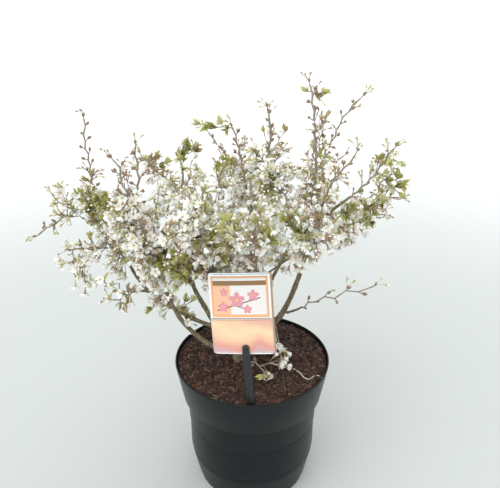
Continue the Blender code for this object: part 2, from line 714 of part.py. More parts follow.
def make_holder(home, finish):
    """A flat black strip from the soil up to the card, with a round knob that holds the card's foot. Strip
    and knob lie one gap in front of the card."""
    front = -CARD_THICKNESS / 2 - GAP
    across, up = KNOB_PLACE
    foot = np.array([*HOLDER_FOOT, SOIL_TOP + GAP])
    top = on_label((across, front - HOLDER_THICKNESS / 2, up))
    width = on_label((HOLDER_WIDTH, 0.0, 0.0)) - CARD_FOOT
    depth = on_label((0.0, HOLDER_THICKNESS, 0.0)) - CARD_FOOT
    strip = bmesh.new()
    bmesh.ops.create_cube(strip, size=1.0)
    for vertex in strip.verts:
        place = foot + (top - foot) * (vertex.co.z + 0.5)
        level = np.array([1.0, 1.0, 0.0])
        vertex.co = place + (vertex.co.x * width + vertex.co.y * depth) * level
    knob = bmesh.new()
    narrow = KNOB_RADIUS * KNOB_TAPER
    bmesh.ops.create_cone(
        knob, cap_ends=True, segments=16, radius1=KNOB_RADIUS, radius2=narrow, depth=KNOB_DEPTH
    )
    turn = Matrix.Rotation(math.radians(90), 4, "X")
    middle = KNOB_DEPTH / 2 + KNOB_FORWARD
    bmesh.ops.transform(knob, matrix=turn, verts=knob.verts)
    for vertex in knob.verts:
        vertex.co = on_label((vertex.co.x + across, vertex.co.y + front - middle, vertex.co.z + up))
    holder = add_object("label_holder", mesh_from_bmesh("label_holder", strip), home)
    join(holder, [knob])
    holder.data.materials.clear()
    holder.data.materials.append(finish)


def main():
    clear_scene()
    shrub = collection("potted_fuji_cherry")
    tools = collection("cutters")
    pot_black = material("pot_black", (0.030, 0.036, 0.040), 0.45)
    soil_brown = material("soil_brown", (0.075, 0.036, 0.026), 0.95)
    bark = material("bark", (0.23, 0.17, 0.11), 0.80)
    blossom = material("blossom_and_leaf", (0.80, 0.80, 0.66), 0.60)
    card = material("label_card", (0.95, 0.78, 0.68), 0.35)
    holder = material("holder_black", (0.020, 0.024, 0.028), 0.50)
    make_pot(shrub, tools, pot_black)
    make_soil(shrub, soil_brown)
    routes = limb_routes()
    make_limbs(routes, shrub, tools, bark)
    make_masses(routes, shrub, blossom)
    make_card(shrub, card)
    make_holder(shrub, holder)


main()
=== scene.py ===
"""The looks of a dwarf fuji cherry in early blossom, in its black nursery pot.

The sections follow the shrub from the ground up: pot, soil, limbs, twigs, blossoms and leaves, label. Sizes
are in metres, +Z is up and +Y leads away from the viewer, as in the frame.
"""

import math
from collections import namedtuple

import bpy
import numpy as np
from mathutils import Matrix, Vector


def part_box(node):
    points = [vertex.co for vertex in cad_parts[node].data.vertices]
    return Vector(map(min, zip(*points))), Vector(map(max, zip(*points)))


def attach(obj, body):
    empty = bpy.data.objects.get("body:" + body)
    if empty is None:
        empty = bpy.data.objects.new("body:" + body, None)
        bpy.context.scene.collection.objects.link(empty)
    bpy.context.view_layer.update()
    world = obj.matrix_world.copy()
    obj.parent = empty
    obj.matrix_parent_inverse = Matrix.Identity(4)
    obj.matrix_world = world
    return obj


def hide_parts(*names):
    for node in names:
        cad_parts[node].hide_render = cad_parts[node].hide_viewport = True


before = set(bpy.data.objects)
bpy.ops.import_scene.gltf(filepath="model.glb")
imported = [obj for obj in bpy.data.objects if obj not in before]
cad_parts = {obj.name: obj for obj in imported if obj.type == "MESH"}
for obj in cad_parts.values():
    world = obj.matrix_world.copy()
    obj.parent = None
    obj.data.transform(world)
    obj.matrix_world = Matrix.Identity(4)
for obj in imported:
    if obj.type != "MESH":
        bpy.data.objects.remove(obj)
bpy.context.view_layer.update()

# The pot. A 5 litre nursery container, injection-moulded in black polypropylene. A broad band stiffens its
# rim, two shallow steps part the pots of a stack, and slots round the bevelled foot let water out.

POT_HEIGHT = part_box("pot")[1].z
RIM_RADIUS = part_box("pot")[1].x
BAND_FOOT = 0.1355
BAND_FOOT_RADIUS = 0.1010
BODY_TOP_RADIUS = 0.0945
UPPER_STEP = 0.098
UPPER_STEP_RADIUS = 0.0935
LOWER_STEP = 0.050
LOWER_STEP_RADIUS = 0.0917
FOOT_BEVEL = 0.040
FOOT_BEVEL_RADIUS = 0.0900
FOOT_RADIUS = 0.0805
STEP_DEPTH = 0.0012
GROOVE_DEPTH = 0.0019
GROOVE_WIDTH = 0.0018
CORNER_REACH = 0.0012
LONGEST_CORNER = 0.33
WALL = 0.0020
POT_COLUMNS = 176
DRAIN_SLOTS = 8
SLOT_HEIGHT = 0.008
SLOT_HALF_WIDTH = 0.0065
SLOT_FLOOR_RADIUS = 0.0775


def fill_mesh(name, points, *face_arrays):
    """A mesh from an array of points and arrays of faces, each array with its own count of corners."""
    mesh = bpy.data.meshes.new(name)
    corners = np.concatenate([faces.reshape(-1) for faces in face_arrays])
    counts = np.concatenate([np.full(len(faces), faces.shape[1]) for faces in face_arrays])
    mesh.vertices.add(len(points))
    mesh.vertices.foreach_set("co", np.ascontiguousarray(points, dtype=np.float32).reshape(-1))
    mesh.loops.add(len(corners))
    mesh.loops.foreach_set("vertex_index", corners.astype(np.int32))
    mesh.polygons.add(len(counts))
    mesh.polygons.foreach_set("loop_start", (np.cumsum(counts) - counts).astype(np.int32))
    mesh.update(calc_edges=True)
    mesh.validate()
    return mesh


def piece(name, shape, finish, slot_name, *nodes, smooth=True):
    """An object of the part, from the points and face arrays of its shape. It gets a finish, rides on the
    one body, and may stand for CAD nodes."""
    mesh = fill_mesh(name, *shape)
    made = bpy.data.objects.new(name, mesh)
    bpy.context.scene.collection.objects.link(made)
    mesh.materials.append(finish)
    if smooth:
        mesh.shade_smooth()
    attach(made, "root")
    if nodes:
        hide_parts(*nodes)


def grid_faces(rows, columns, around):
    """The quads of a grid of points, whose last column joins its first if it goes around."""
    last = columns if around else columns - 1
    row, column = np.meshgrid(np.arange(rows - 1), np.arange(last), indexing="ij")
    onward = (column + 1) % columns
    here, there = row * columns, (row + 1) * columns
    return np.stack([here + column, there + column, there + onward, here + onward], axis=-1).reshape(-1, 4)


def tube_faces(rows, columns):
    """The faces of rings of points that are followed by their two hubs: quads between the rings, and a
    fan of triangles from each hub over its end."""
    column = np.arange(columns)
    onward = (column + 1) % columns
    hub, low = rows * columns, (rows - 1) * columns
    first = np.stack([np.full(columns, hub), column, onward], axis=-1)
    last = np.stack([low + column, np.full(columns, hub + 1), low + onward], axis=-1)
    return grid_faces(rows, columns, True), np.vstack([first, last])


def eased(outline, reach, steps=4):
    """An outline with its inner corners rounded: each becomes a parabola that leaves and meets the sides
    at a reach from the corner, or at a third of a shorter side."""
    outline = np.array(outline)
    soft = [outline[:1]]
    share = np.linspace(0.0, 1.0, steps)[:, None]
    for before, corner, after in zip(outline, outline[1:], outline[2:]):
        back, on = before - corner, after - corner
        start = corner + back * min(reach / np.linalg.norm(back), LONGEST_CORNER)
        end = corner + on * min(reach / np.linalg.norm(on), LONGEST_CORNER)
        soft.append((1 - share) ** 2 * start + 2 * share * (1 - share) * corner + share**2 * end)
    soft.append(outline[-1:])
    return np.vstack(soft)


def turned(outline, columns):
    """An outline of (radius, height) turned about Z: each point becomes a ring (r cos a, r sin a, h).
    Both its ends lie on the axis and close as fans of triangles."""
    angle = np.linspace(0, 2 * math.pi, columns, endpoint=False)
    rings = outline[1:-1]
    around = rings[:, 0, None, None] * np.stack([np.cos(angle), np.sin(angle)], axis=-1)
    heights = np.broadcast_to(rings[:, 1, None, None], (len(rings), columns, 1))
    ends = np.array([[0.0, 0.0, outline[0, 1]], [0.0, 0.0, outline[-1, 1]]])
    points = np.vstack([np.concatenate([around, heights], axis=-1).reshape(-1, 3), ends])
    return points, *tube_faces(len(rings), columns)


def step_outline(radius, height):
    """A step down the outside: a narrow groove under its edge, then on at the lesser radius."""
    return [
        (radius, height),
        (radius - GROOVE_DEPTH, height - GROOVE_WIDTH / 4),
        (radius - GROOVE_DEPTH, height - GROOVE_WIDTH),
        (radius - STEP_DEPTH, height - 1.4 * GROOVE_WIDTH),
    ]


def pot_outline():
    """From the floor's inside up the inner wall, over the rim, and down the outside to the underside."""
    inside = [
        (0.0, 2 * WALL),
        (FOOT_RADIUS - WALL, 2 * WALL),
        (FOOT_BEVEL_RADIUS - 1.5 * WALL, FOOT_BEVEL + WALL),
        (BODY_TOP_RADIUS - WALL, BAND_FOOT),
        (BAND_FOOT_RADIUS - WALL, BAND_FOOT + WALL),
        (RIM_RADIUS - WALL, POT_HEIGHT),
    ]
    outside = [
        (RIM_RADIUS - STEP_DEPTH / 2, POT_HEIGHT),
        (RIM_RADIUS, POT_HEIGHT - STEP_DEPTH),
        (BAND_FOOT_RADIUS, BAND_FOOT),
        (BODY_TOP_RADIUS, BAND_FOOT - WALL),
        *step_outline(UPPER_STEP_RADIUS, UPPER_STEP),
        *step_outline(LOWER_STEP_RADIUS, LOWER_STEP),
        (FOOT_BEVEL_RADIUS, FOOT_BEVEL),
        (np.interp(SLOT_HEIGHT, (0.0, FOOT_BEVEL), (FOOT_RADIUS, FOOT_BEVEL_RADIUS)), SLOT_HEIGHT),
        (FOOT_RADIUS, 0.0),
        (SLOT_FLOOR_RADIUS - WALL, 0.0),
        (0.0, 0.0),
    ]
    return eased(inside + outside, CORNER_REACH)


def open_slots(points):
    """Draws the foot's wall back to the slot's floor where a slot is."""
    radius = np.hypot(points[:, 0], points[:, 1])
    angle = np.arctan2(points[:, 1], points[:, 0])
    turn = 2 * math.pi / DRAIN_SLOTS
    off_slot = np.abs((angle / turn) % 1.0 - 0.5) * turn * SLOT_FLOOR_RADIUS
    inner = (points[:, 2] > WALL) & (radius < FOOT_RADIUS - WALL / 2)
    in_slot = (off_slot < SLOT_HALF_WIDTH) & (points[:, 2] < SLOT_HEIGHT) & (radius > SLOT_FLOOR_RADIUS)
    shrink = np.where(in_slot & ~inner, SLOT_FLOOR_RADIUS / np.maximum(radius, 1e-6), 1.0)
    points[:, :2] *= shrink[:, None]
    return points


def set_inputs(node, **inputs):
    """Sets inputs of a node. A keyword names an input, with underscores for its blanks."""
    for name, value in inputs.items():
        node.inputs[name.replace("_", " ")].default_value = value


def add_node(tree, kind, **inputs):
    """A new shader node with some of its inputs set."""
    made = tree.nodes.new(kind)
    set_inputs(made, **inputs)
    return made


def colour_mix(tree, **colours):
    """A node that mixes two colours, A and B, of which one may be set."""
    mix = tree.nodes.new("ShaderNodeMix")
    mix.data_type = "RGBA"
    for name, colour in colours.items():
        mix.inputs[name].default_value = (*colour, 1.0)
    return mix


def wire(tree, *rows):
    """Links in a node tree: each row holds a node and its output, then a node and its input."""
    for source, output, target, entry in rows:
        tree.links.new(source.outputs[output], target.inputs[entry])


def mottle_group():
    """A shared effect: noise that blends two colours in patches and gives the patches as a height."""
    group = bpy.data.node_groups.new("mottle", "ShaderNodeTree")
    for name, kind, start in (
        ("Light", "NodeSocketColor", (0.8, 0.8, 0.8, 1.0)),
        ("Dark", "NodeSocketColor", (0.2, 0.2, 0.2, 1.0)),
        ("Scale", "NodeSocketFloat", 100.0),
        ("Spread", "NodeSocketFloat", 0.5),
    ):
        group.interface.new_socket(name, in_out="INPUT", socket_type=kind).default_value = start
    group.interface.new_socket("Colour", in_out="OUTPUT", socket_type="NodeSocketColor")
    group.interface.new_socket("Height", in_out="OUTPUT", socket_type="NodeSocketFloat")
    given, out = add_node(group, "NodeGroupInput"), add_node(group, "NodeGroupOutput")
    place = add_node(group, "ShaderNodeTexCoord")
    noise = add_node(group, "ShaderNodeTexNoise", Detail=4.0)
    ramp = add_node(group, "ShaderNodeMapRange")
    low, high = add_node(group, "ShaderNodeMath"), add_node(group, "ShaderNodeMath")
    low.operation = "SUBTRACT"
    high.operation = "ADD"
    low.inputs[0].default_value = 0.5
    high.inputs[0].default_value = 0.5
    mix = colour_mix(group)
    wire(group, (place, "Object", noise, "Vector"), (given, "Scale", noise, "Scale"),
         (given, "Spread", low, 1), (given, "Spread", high, 1), (noise, "Fac", ramp, "Value"),
         (low, 0, ramp, "From Min"), (high, 0, ramp, "From Max"), (ramp, "Result", mix, "Factor"),
         (given, "Dark", mix, "A"), (given, "Light", mix, "B"),
         (mix, "Result", out, "Colour"), (ramp, "Result", out, "Height"))
    return group


MOTTLE = mottle_group()


def new_material(name, **inputs):
    """A material, its node tree and its shader with some of the shader's own inputs set."""
    made = bpy.data.materials.new(name)
    made.use_nodes = True
    shader = made.node_tree.nodes["Principled BSDF"]
    set_inputs(shader, **inputs)
    return made, made.node_tree, shader


def mottled(name, light, dark, scale, spread=0.15, roughness=0.6, bump=0.0, depth=0.0005, specular=0.5):
    """A material whose colour lies between two tones in patches, with the patches raised by a bump."""
    made, tree, shader = new_material(name, Roughness=roughness, Specular_IOR_Level=specular)
    tone = tree.nodes.new("ShaderNodeGroup")
    tone.node_tree = MOTTLE
    set_inputs(tone, Light=(*light, 1.0), Dark=(*dark, 1.0), Scale=scale, Spread=spread)
    wire(tree, (tone, "Colour", shader, "Base Color"))
    if bump:
        relief = add_node(tree, "ShaderNodeBump", Strength=bump, Distance=depth)
        wire(tree, (tone, "Height", relief, "Height"), (relief, "Normal", shader, "Normal"))
    return made


def add_fine_grain(made, scale, strength, depth):
    """Puts a finer moulded grain over a material's own relief."""
    tree = made.node_tree
    shader = tree.nodes["Principled BSDF"]
    grain = tree.nodes.new("ShaderNodeGroup")
    grain.node_tree = MOTTLE
    set_inputs(grain, Scale=scale, Spread=0.3)
    relief = add_node(tree, "ShaderNodeBump", Strength=strength, Distance=depth)
    tree.links.new(shader.inputs["Normal"].links[0].from_socket, relief.inputs["Normal"])
    wire(tree, (grain, "Height", relief, "Height"), (relief, "Normal", shader, "Normal"))


pot_points, pot_quads, pot_ends = turned(pot_outline(), POT_COLUMNS)
pot_plastic = mottled("pot_plastic", (0.006, 0.009, 0.010), (0.004, 0.006, 0.007), scale=26.0, spread=0.25,
                      roughness=0.36, bump=0.10, depth=0.0006, specular=0.24)
add_fine_grain(pot_plastic, scale=2600.0, strength=0.12, depth=0.0001)
piece("nursery_pot", (open_slots(pot_points), pot_quads, pot_ends), pot_plastic, "pot_black", "pot")


# The potting soil. Moist bark and peat fill the pot to just under its rim. Its surface is uneven, mounded
# a little round the trunk, and strewn with bark chips, peat crumbs and root fibres. A dead white root
# lies on it.

SOIL_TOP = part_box("soil")[1].z
SOIL_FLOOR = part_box("soil")[0].z
SOIL_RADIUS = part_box("soil")[1].x
SOIL_RINGS = 56
SOIL_COLUMNS = 168
TRUNK_FOOT = (-0.018, -0.004)
MOUND_HEIGHT = 0.0035
MOUND_RADIUS = 0.035
UNEVENNESS = ((0.0012, 0.030, 1), (0.0009, 0.007, 2))
CHIP_COUNT = 4200
CHIP_MARGIN = 0.004
CHIP_SINK = 0.0002
CHIP_LEAN = 0.30
CHIP_BREADTHS = (0.25, 0.7)
CRUMB_COUNT = 2600
FIBRE_COUNT = 46
FIBRE_POINTS = 6
FIBRE_LENGTHS = (0.005, 0.014)
FIBRE_RADII = (0.00016, 0.00032)
FIBRE_BEND = 1.1
FIBRE_LIFT = 0.0006
FIBRE_ARCH = 0.0022
FIBRE_MARGIN = 0.002
STRAND_CORNERS = ((0.026, -0.018, 0.0), (0.038, -0.022, 0.0), (0.050, -0.021, 0.0), (0.064, -0.037, 0.0),
                  (0.077, -0.053, 0.0), (0.088, -0.044, 0.0), (0.097, -0.047, 0.0))
STRAND_POINTS = 40
STRAND_LIFT = 0.0018
STRAND_RADII = (0.0008, 0.0005)


def ripple(points, pitch, seed, waves=14):
    """Smooth noise between about -1 and 1: the mean of plane waves in random directions, whose lengths lie
    around the pitch."""
    rng = np.random.default_rng(seed)
    ways = rng.normal(size=(waves, points.shape[-1]))
    ways /= np.linalg.norm(ways, axis=1, keepdims=True)
    counts = 2 * math.pi / (pitch * rng.uniform(0.6, 1.7, waves))
    phases = rng.uniform(0, 2 * math.pi, waves)
    return np.sin(points @ (ways * counts[:, None]).T + phases).mean(-1) * 2.2


def soil_height(x, y):
    """The soil's top at a place: level, a little mounded at the trunk, uneven on two scales."""
    places = np.stack([x, y], axis=-1)
    from_trunk = np.hypot(x - TRUNK_FOOT[0], y - TRUNK_FOOT[1])
    level = SOIL_TOP + MOUND_HEIGHT * np.exp(-((from_trunk / MOUND_RADIUS) ** 2))
    for height, pitch, seed in UNEVENNESS:
        level = level + height * ripple(places, pitch, seed)
    return level


def soil_surface():
    """Rings from the middle out, laid on the soil's height, then down inside the wall and under."""
    share = np.linspace(0.0, 1.0, SOIL_RINGS + 1)[1:]
    outline = [(0.0, SOIL_TOP), *[(SOIL_RADIUS * s, SOIL_TOP) for s in share]]
    side = [(BAND_FOOT_RADIUS - 2 * WALL, BAND_FOOT + WALL),
            (BODY_TOP_RADIUS - 2 * WALL, BAND_FOOT - WALL)]
    foot = [(FOOT_RADIUS - 2 * WALL, SOIL_FLOOR), (0.0, SOIL_FLOOR)]
    points, quads, ends = turned(np.array(outline + side + foot), SOIL_COLUMNS)
    top = points[:, 2] > SOIL_TOP - 1e-6
    points[top, 2] = soil_height(points[top, 0], points[top, 1])
    return points, quads[:, ::-1], ends[:, ::-1]


def rotations(headings, rolls):
    """For each heading a turned set of axes, as columns: across, normal and along. The roll turns the first
    two about the heading."""
    headings = headings / np.linalg.norm(headings, axis=1, keepdims=True)
    guide = np.where(np.abs(headings[:, 2:]) < 0.9, [[0.0, 0.0, 1.0]], [[1.0, 0.0, 0.0]])
    across = np.cross(guide, headings)
    across /= np.linalg.norm(across, axis=1, keepdims=True)
    normal = np.cross(headings, across)
    cos, sin = np.cos(rolls)[:, None], np.sin(rolls)[:, None]
    return np.stack([cos * across + sin * normal, cos * normal - sin * across, headings], axis=-1)


def scattered(points, faces, places, turns, sizes):
    """Copies of one small shape: each is scaled by one number or three, turned and put in place."""
    sizes = np.asarray(sizes, float).reshape(len(places), 1, -1)
    copies = np.einsum("nij,nvj->nvi", turns, points[None] * sizes) + places[:, None]
    shift = np.arange(len(places))[:, None, None] * len(points)
    return copies.reshape(-1, 3), (faces[None] + shift).reshape(-1, faces.shape[1])


def outward_faces(quads, fans):
    """Quads and triangles that face inwards, as triangles that face outwards."""
    return np.vstack([quads[:, [0, 2, 1]], quads[:, [0, 3, 2]], fans[:, ::-1]])


def chip_shape():
    """A six-cornered flake: two rings of six points, the upper one smaller and askew."""
    angle = np.arange(6) * math.pi / 3
    low = np.stack([np.cos(angle), np.sin(angle), np.full(6, -1.0)], axis=-1)
    high = np.stack([0.7 * np.cos(angle) + 0.1, 0.75 * np.sin(angle), np.full(6, 1.0)], axis=-1)
    return np.vstack([low, high, [[0, 0, -1.1]], [[0.1, 0, 1.25]]]), outward_faces(*tube_faces(2, 6))


def strewn_places(count, rng, sink):
    """Even places over the soil's disc, at its height less a sink."""
    radius = (SOIL_RADIUS - CHIP_MARGIN) * np.sqrt(rng.random(count))
    angle = rng.uniform(0, 2 * math.pi, count)
    x, y = radius * np.cos(angle), radius * np.sin(angle)
    return np.stack([x, y, soil_height(x, y) - sink], axis=-1)


def strewn_chips(name, count, long, thick, finish, seed):
    """Chips that lie flat but for a lean of up to about 35 degrees."""
    rng = np.random.default_rng(seed)
    lean_x, lean_y = rng.normal(0, CHIP_LEAN, count), rng.normal(0, CHIP_LEAN, count)
    lean = np.stack([lean_x, lean_y, np.ones(count)], axis=-1)
    length = rng.uniform(*long, count)
    breadth = length * rng.uniform(*CHIP_BREADTHS, count)
    sizes = np.stack([length, breadth, rng.uniform(*thick, count)], axis=-1) / 2
    turns = rotations(lean, rng.uniform(0, 2 * math.pi, count))
    shape = scattered(*chip_shape(), strewn_places(count, rng, CHIP_SINK), turns, sizes)
    piece(name, shape, finish, "soil_brown", smooth=False)


def woody(name, light, dark, scale, roughness=0.80, bump=0.3, depth=0.0003):
    """Bark or root: two dull tones with a fine relief."""
    return mottled(name, light, dark, scale, 0.2, roughness, bump, depth, specular=0.3)


peat = mottled("peat", (0.066, 0.037, 0.027), (0.018, 0.011, 0.009), scale=420.0, spread=0.18,
               roughness=0.95, bump=0.9, depth=0.0012, specular=0.2)
chip_dark = woody("bark_chip_dark", (0.070, 0.038, 0.028), (0.020, 0.012, 0.010), 500.0, 0.85, 0.5, 0.0004)
chip_red = woody("bark_chip_red", (0.145, 0.070, 0.048), (0.060, 0.030, 0.023), 380.0, 0.80, 0.5, 0.0004)
chip_tan = woody("bark_chip_tan", (0.300, 0.190, 0.125), (0.130, 0.070, 0.045), 300.0, 0.80, 0.4, 0.0004)
piece("potting_soil", soil_surface(), peat, "soil_brown", "soil")
strewn_chips("bark_chips_dark", CHIP_COUNT // 3, (0.0040, 0.0150), (0.0014, 0.0040), chip_dark, 3)
strewn_chips("bark_chips_red", CHIP_COUNT // 4, (0.0035, 0.0130), (0.0012, 0.0034), chip_red, 4)
strewn_chips("peat_crumbs", CRUMB_COUNT, (0.0010, 0.0026), (0.0008, 0.0018), peat, 5)
strewn_chips("bark_chips_tan", CHIP_COUNT // 11, (0.0020, 0.0085), (0.0006, 0.0016), chip_tan, 6)


def swept(routes, radii, sides):
    """Round skins along many routes of equally many points: each point gets a ring square to its route,
    with one radius or one for each side, and the ends close as fans. One guide direction for each route
    keeps its rings from turning."""
    count, steps = routes.shape[:2]
    along_route = np.gradient(routes, axis=1)
    along_route /= np.linalg.norm(along_route, axis=2, keepdims=True) + 1e-12
    least = np.abs(along_route.mean(1)).argmin(1)
    guide = np.eye(3)[least][:, None, :]
    across = np.cross(along_route, guide)
    across /= np.linalg.norm(across, axis=2, keepdims=True)
    other = np.cross(along_route, across)
    angle = np.linspace(0, 2 * math.pi, sides, endpoint=False)
    spokes = np.cos(angle)[:, None] * across[:, :, None] + np.sin(angle)[:, None] * other[:, :, None]
    rings = routes[:, :, None] + spokes * radii.reshape(count, steps, -1, 1)
    points = np.concatenate([rings.reshape(count, -1, 3), routes[:, :1], routes[:, -1:]], axis=1)
    shift = np.arange(count)[:, None, None] * points.shape[1]
    faces = [(part + shift).reshape(-1, part.shape[1])[:, ::-1] for part in tube_faces(steps, sides)]
    return points.reshape(-1, 3), *faces


def fibres(count, seed):
    """Root fibres: short arcs of hair width that lie on the soil and lift a little at their middle."""
    rng = np.random.default_rng(seed)
    start = strewn_places(count, rng, -FIBRE_LIFT)
    heading = rng.uniform(0, 2 * math.pi, count)[:, None]
    length = rng.uniform(*FIBRE_LENGTHS, count)[:, None]
    share = np.linspace(0.0, 1.0, FIBRE_POINTS)[None]
    bend = heading + rng.normal(0, FIBRE_BEND, count)[:, None] * share
    x = start[:, :1] + length * share * np.cos(bend)
    y = start[:, 1:2] + length * share * np.sin(bend)
    inside = np.minimum(1.0, (SOIL_RADIUS - FIBRE_MARGIN) / np.hypot(x, y))
    x, y = x * inside, y * inside
    z = soil_height(x, y) + FIBRE_LIFT + FIBRE_ARCH * rng.random(count)[:, None] * np.sin(math.pi * share)
    radii = np.broadcast_to(rng.uniform(*FIBRE_RADII, count)[:, None], (count, FIBRE_POINTS))
    return swept(np.stack([x, y, z], axis=-1), radii, sides=4)


def curved(points, count):
    """A route through the given points as one smooth curve: between two points a cubic whose slope at
    each point is half the step between its neighbours."""
    padded = np.vstack([2 * points[0] - points[1], points, 2 * points[-1] - points[-2]])
    place = np.linspace(0.0, len(points) - 1.000001, count)
    i = place.astype(int)
    t = (place - i)[:, None]
    before, here, after, beyond = padded[i], padded[i + 1], padded[i + 2], padded[i + 3]
    bend = 2 * before - 5 * here + 4 * after - beyond
    sway = 3 * here - before - 3 * after + beyond
    return 0.5 * (2 * here + (after - before) * t + bend * t**2 + sway * t**3)


def dried_strand():
    """A dead white root that lies on the soil from behind the label to the rim, tapering and bent."""
    route = curved(np.array(STRAND_CORNERS), STRAND_POINTS)
    route[:, 2] += soil_height(route[:, 0], route[:, 1]) + STRAND_LIFT
    return swept(route[None], np.linspace(*STRAND_RADII, STRAND_POINTS)[None], sides=6)


fibre_pale = woody("fibre_pale", (0.560, 0.440, 0.320), (0.330, 0.220, 0.140), 300.0)
strand_white = woody("strand_white", (0.860, 0.820, 0.760), (0.680, 0.610, 0.520), 300.0)
piece("root_fibres", fibres(FIBRE_COUNT, 7), fibre_pale, "soil_brown")
piece("dried_strand", dried_strand(), strand_white, "soil_brown")


# The trunk and boughs. The trunk is short and forks just above the soil. Its boughs bow outwards and then
# climb, kinked and a little swollen at every node, in rough grey-brown bark with pale pores.

TRUNK_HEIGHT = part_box("trunk")[1].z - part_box("trunk")[0].z
TRUNK_LEAN = (-0.003, -0.002)
TRUNK_TAPER = ((0.0, 0.0130), (0.10, 0.0105), (0.28, 0.0090), (0.65, 0.0082), (0.90, 0.0066), (1.0, 0.0040))
BOUGH_TAPER = 0.55
BOUGH_KINK = 0.0016
BOUGH_STEPS = 5
LIMB_RINGS = 64
LIMB_SIDES = 18
TRUNK_SIDES = 56
NODE_SWELL = 0.16
NODE_LENGTH = 0.004
BARK_RELIEF = ((0.07, 0.012, 11), (0.045, 0.0035, 12))
RIBS = 5
RIB_TURN = 0.7
RIB_HEIGHT = 0.10
RIB_FADE = 0.12
PORE_SCALE = 330.0
PORE_SQUEEZE = 2.6
PORE_EDGE = (0.30, 0.16)
UP = np.array([0.0, 0.0, 1.0])

Bough = namedtuple("Bough", "carrier leaves bend tip foot")
BOUGHS = {name: Bough(*values) for name, *values in (
    ("bough_left_low", "trunk", 0.36, (-0.109, 0.020, 0.181), (-0.138, -0.010, 0.369), 0.0040),
    ("bough_left_fore", "bough_left_low", 0.76, (-0.160, -0.022, 0.375), (-0.160, -0.032, 0.439), 0.0022),
    ("bough_left_up", "trunk", 0.70, (-0.103, 0.048, 0.239), (-0.095, 0.050, 0.382), 0.0042),
    ("bough_left_arm", "bough_left_up", 0.14, (-0.161, 0.032, 0.261), (-0.176, 0.020, 0.330), 0.0032),
    ("bough_left_outer", "bough_left_arm", 0.92, (-0.182, 0.036, 0.354), (-0.194, 0.044, 0.385), 0.0018),
    ("bough_left_rise", "bough_left_arm", 0.78, (-0.197, 0.060, 0.335), (-0.224, 0.075, 0.411), 0.0020),
    ("bough_left_droop", "bough_left_arm", 0.66, (-0.152, 0.006, 0.295), (-0.164, -0.008, 0.298), 0.0021),
    ("bough_inner", "bough_left_up", 0.58, (-0.074, 0.025, 0.324), (-0.059, 0.012, 0.381), 0.0027),
    ("bough_right", "trunk", 0.72, (0.073, 0.034, 0.211), (0.081, 0.000, 0.432), 0.0048),
    ("bough_right_low", "bough_right", 0.72, (0.097, 0.024, 0.381), (0.126, 0.034, 0.396), 0.0028),
    ("bough_right_outer", "bough_right", 0.80, (0.098, -0.008, 0.416), (0.128, -0.012, 0.440), 0.0027),
    ("bough_right_rise", "bough_right", 0.88, (0.095, 0.030, 0.426), (0.099, 0.046, 0.453), 0.0025),
    ("bough_right_fore", "bough_right", 0.64, (0.090, -0.030, 0.404), (0.087, -0.058, 0.450), 0.0026),
    ("bough_right_twig", "bough_right", 0.30, (0.053, -0.002, 0.260), (0.070, -0.014, 0.278), 0.0020),
    ("bough_centre", "trunk", 0.97, (0.007, 0.036, 0.308), (0.019, 0.034, 0.413), 0.0034),
    ("bough_centre_rise", "bough_centre", 0.66, (-0.005, 0.052, 0.379), (-0.009, 0.064, 0.430), 0.0022),
    ("bough_back_high", "bough_centre", 0.50, (-0.007, 0.085, 0.347), (-0.021, 0.122, 0.412), 0.0024),
    ("bough_front_left", "trunk", 0.42, (-0.031, -0.050, 0.223), (-0.052, -0.050, 0.361), 0.0034),
    ("bough_front", "bough_front_left", 0.50, (-0.010, -0.050, 0.312), (-0.001, -0.056, 0.369), 0.0024),
    ("bough_front_right", "bough_front", 0.30, (0.012, -0.050, 0.345), (0.049, -0.056, 0.375), 0.0018),
    ("bough_back", "trunk", 0.66, (-0.005, 0.115, 0.220), (-0.007, 0.150, 0.346), 0.0036),
    ("bough_back_left", "bough_back", 0.30, (-0.071, 0.110, 0.274), (-0.108, 0.135, 0.368), 0.0030),
    ("bough_back_left_low", "bough_back_left", 0.50, (-0.101, 0.135, 0.294), (-0.131, 0.155, 0.313),
     0.0024),
    ("bough_back_right", "trunk", 0.42, (0.016, 0.100, 0.220), (0.075, 0.122, 0.349), 0.0038),
    ("bough_back_right_low", "bough_back_right", 0.70, (0.080, 0.115, 0.311), (0.120, 0.122, 0.329),
     0.0026),
)}


def unit(vectors):
    """Vectors scaled to a length of 1."""
    return vectors / np.linalg.norm(vectors, axis=-1, keepdims=True)


def arc(start, bend, tip, kink, steps):
    """A route from start to tip, pulled towards the bend, with kinks that change side at every node
    between its ends."""
    start, bend, tip = np.array(start), np.array(bend), np.array(tip)
    share = np.linspace(0.0, 1.0, steps + 1)[:, None]
    smooth = (1 - share) ** 2 * start + 2 * share * (1 - share) * bend + share**2 * tip
    side = unit(np.cross(tip - start, UP) + np.array([0.0, 1e-6, 0.0]))
    turn = (-1.0) ** np.arange(steps + 1)[:, None]
    inner = ((share > 0) & (share < 1)).astype(float)
    return smooth + kink * inner * turn * side


def route_length(route):
    """The sum of the lengths of a route's steps."""
    return np.linalg.norm(np.diff(route, axis=0), axis=1).sum()


def along(points, share):
    """The points at shares of a route's length."""
    steps = np.linalg.norm(np.diff(points, axis=0), axis=1)
    run = np.concatenate([[0.0], np.cumsum(steps)]) / steps.sum()
    return np.stack([np.interp(share, run, points[:, axis]) for axis in range(3)], axis=-1)


def trunk_route():
    """The trunk's middle: straight up from its foot, plus a lean that grows as the square of the way."""
    foot = np.array([*TRUNK_FOOT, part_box("trunk")[0].z])
    shares = np.array([share for share, _ in TRUNK_TAPER])
    lean = np.array([*TRUNK_LEAN, 0.0])
    return foot + shares[:, None] * TRUNK_HEIGHT * UP + (np.maximum(shares - 0.1, 0) ** 2)[:, None] * lean


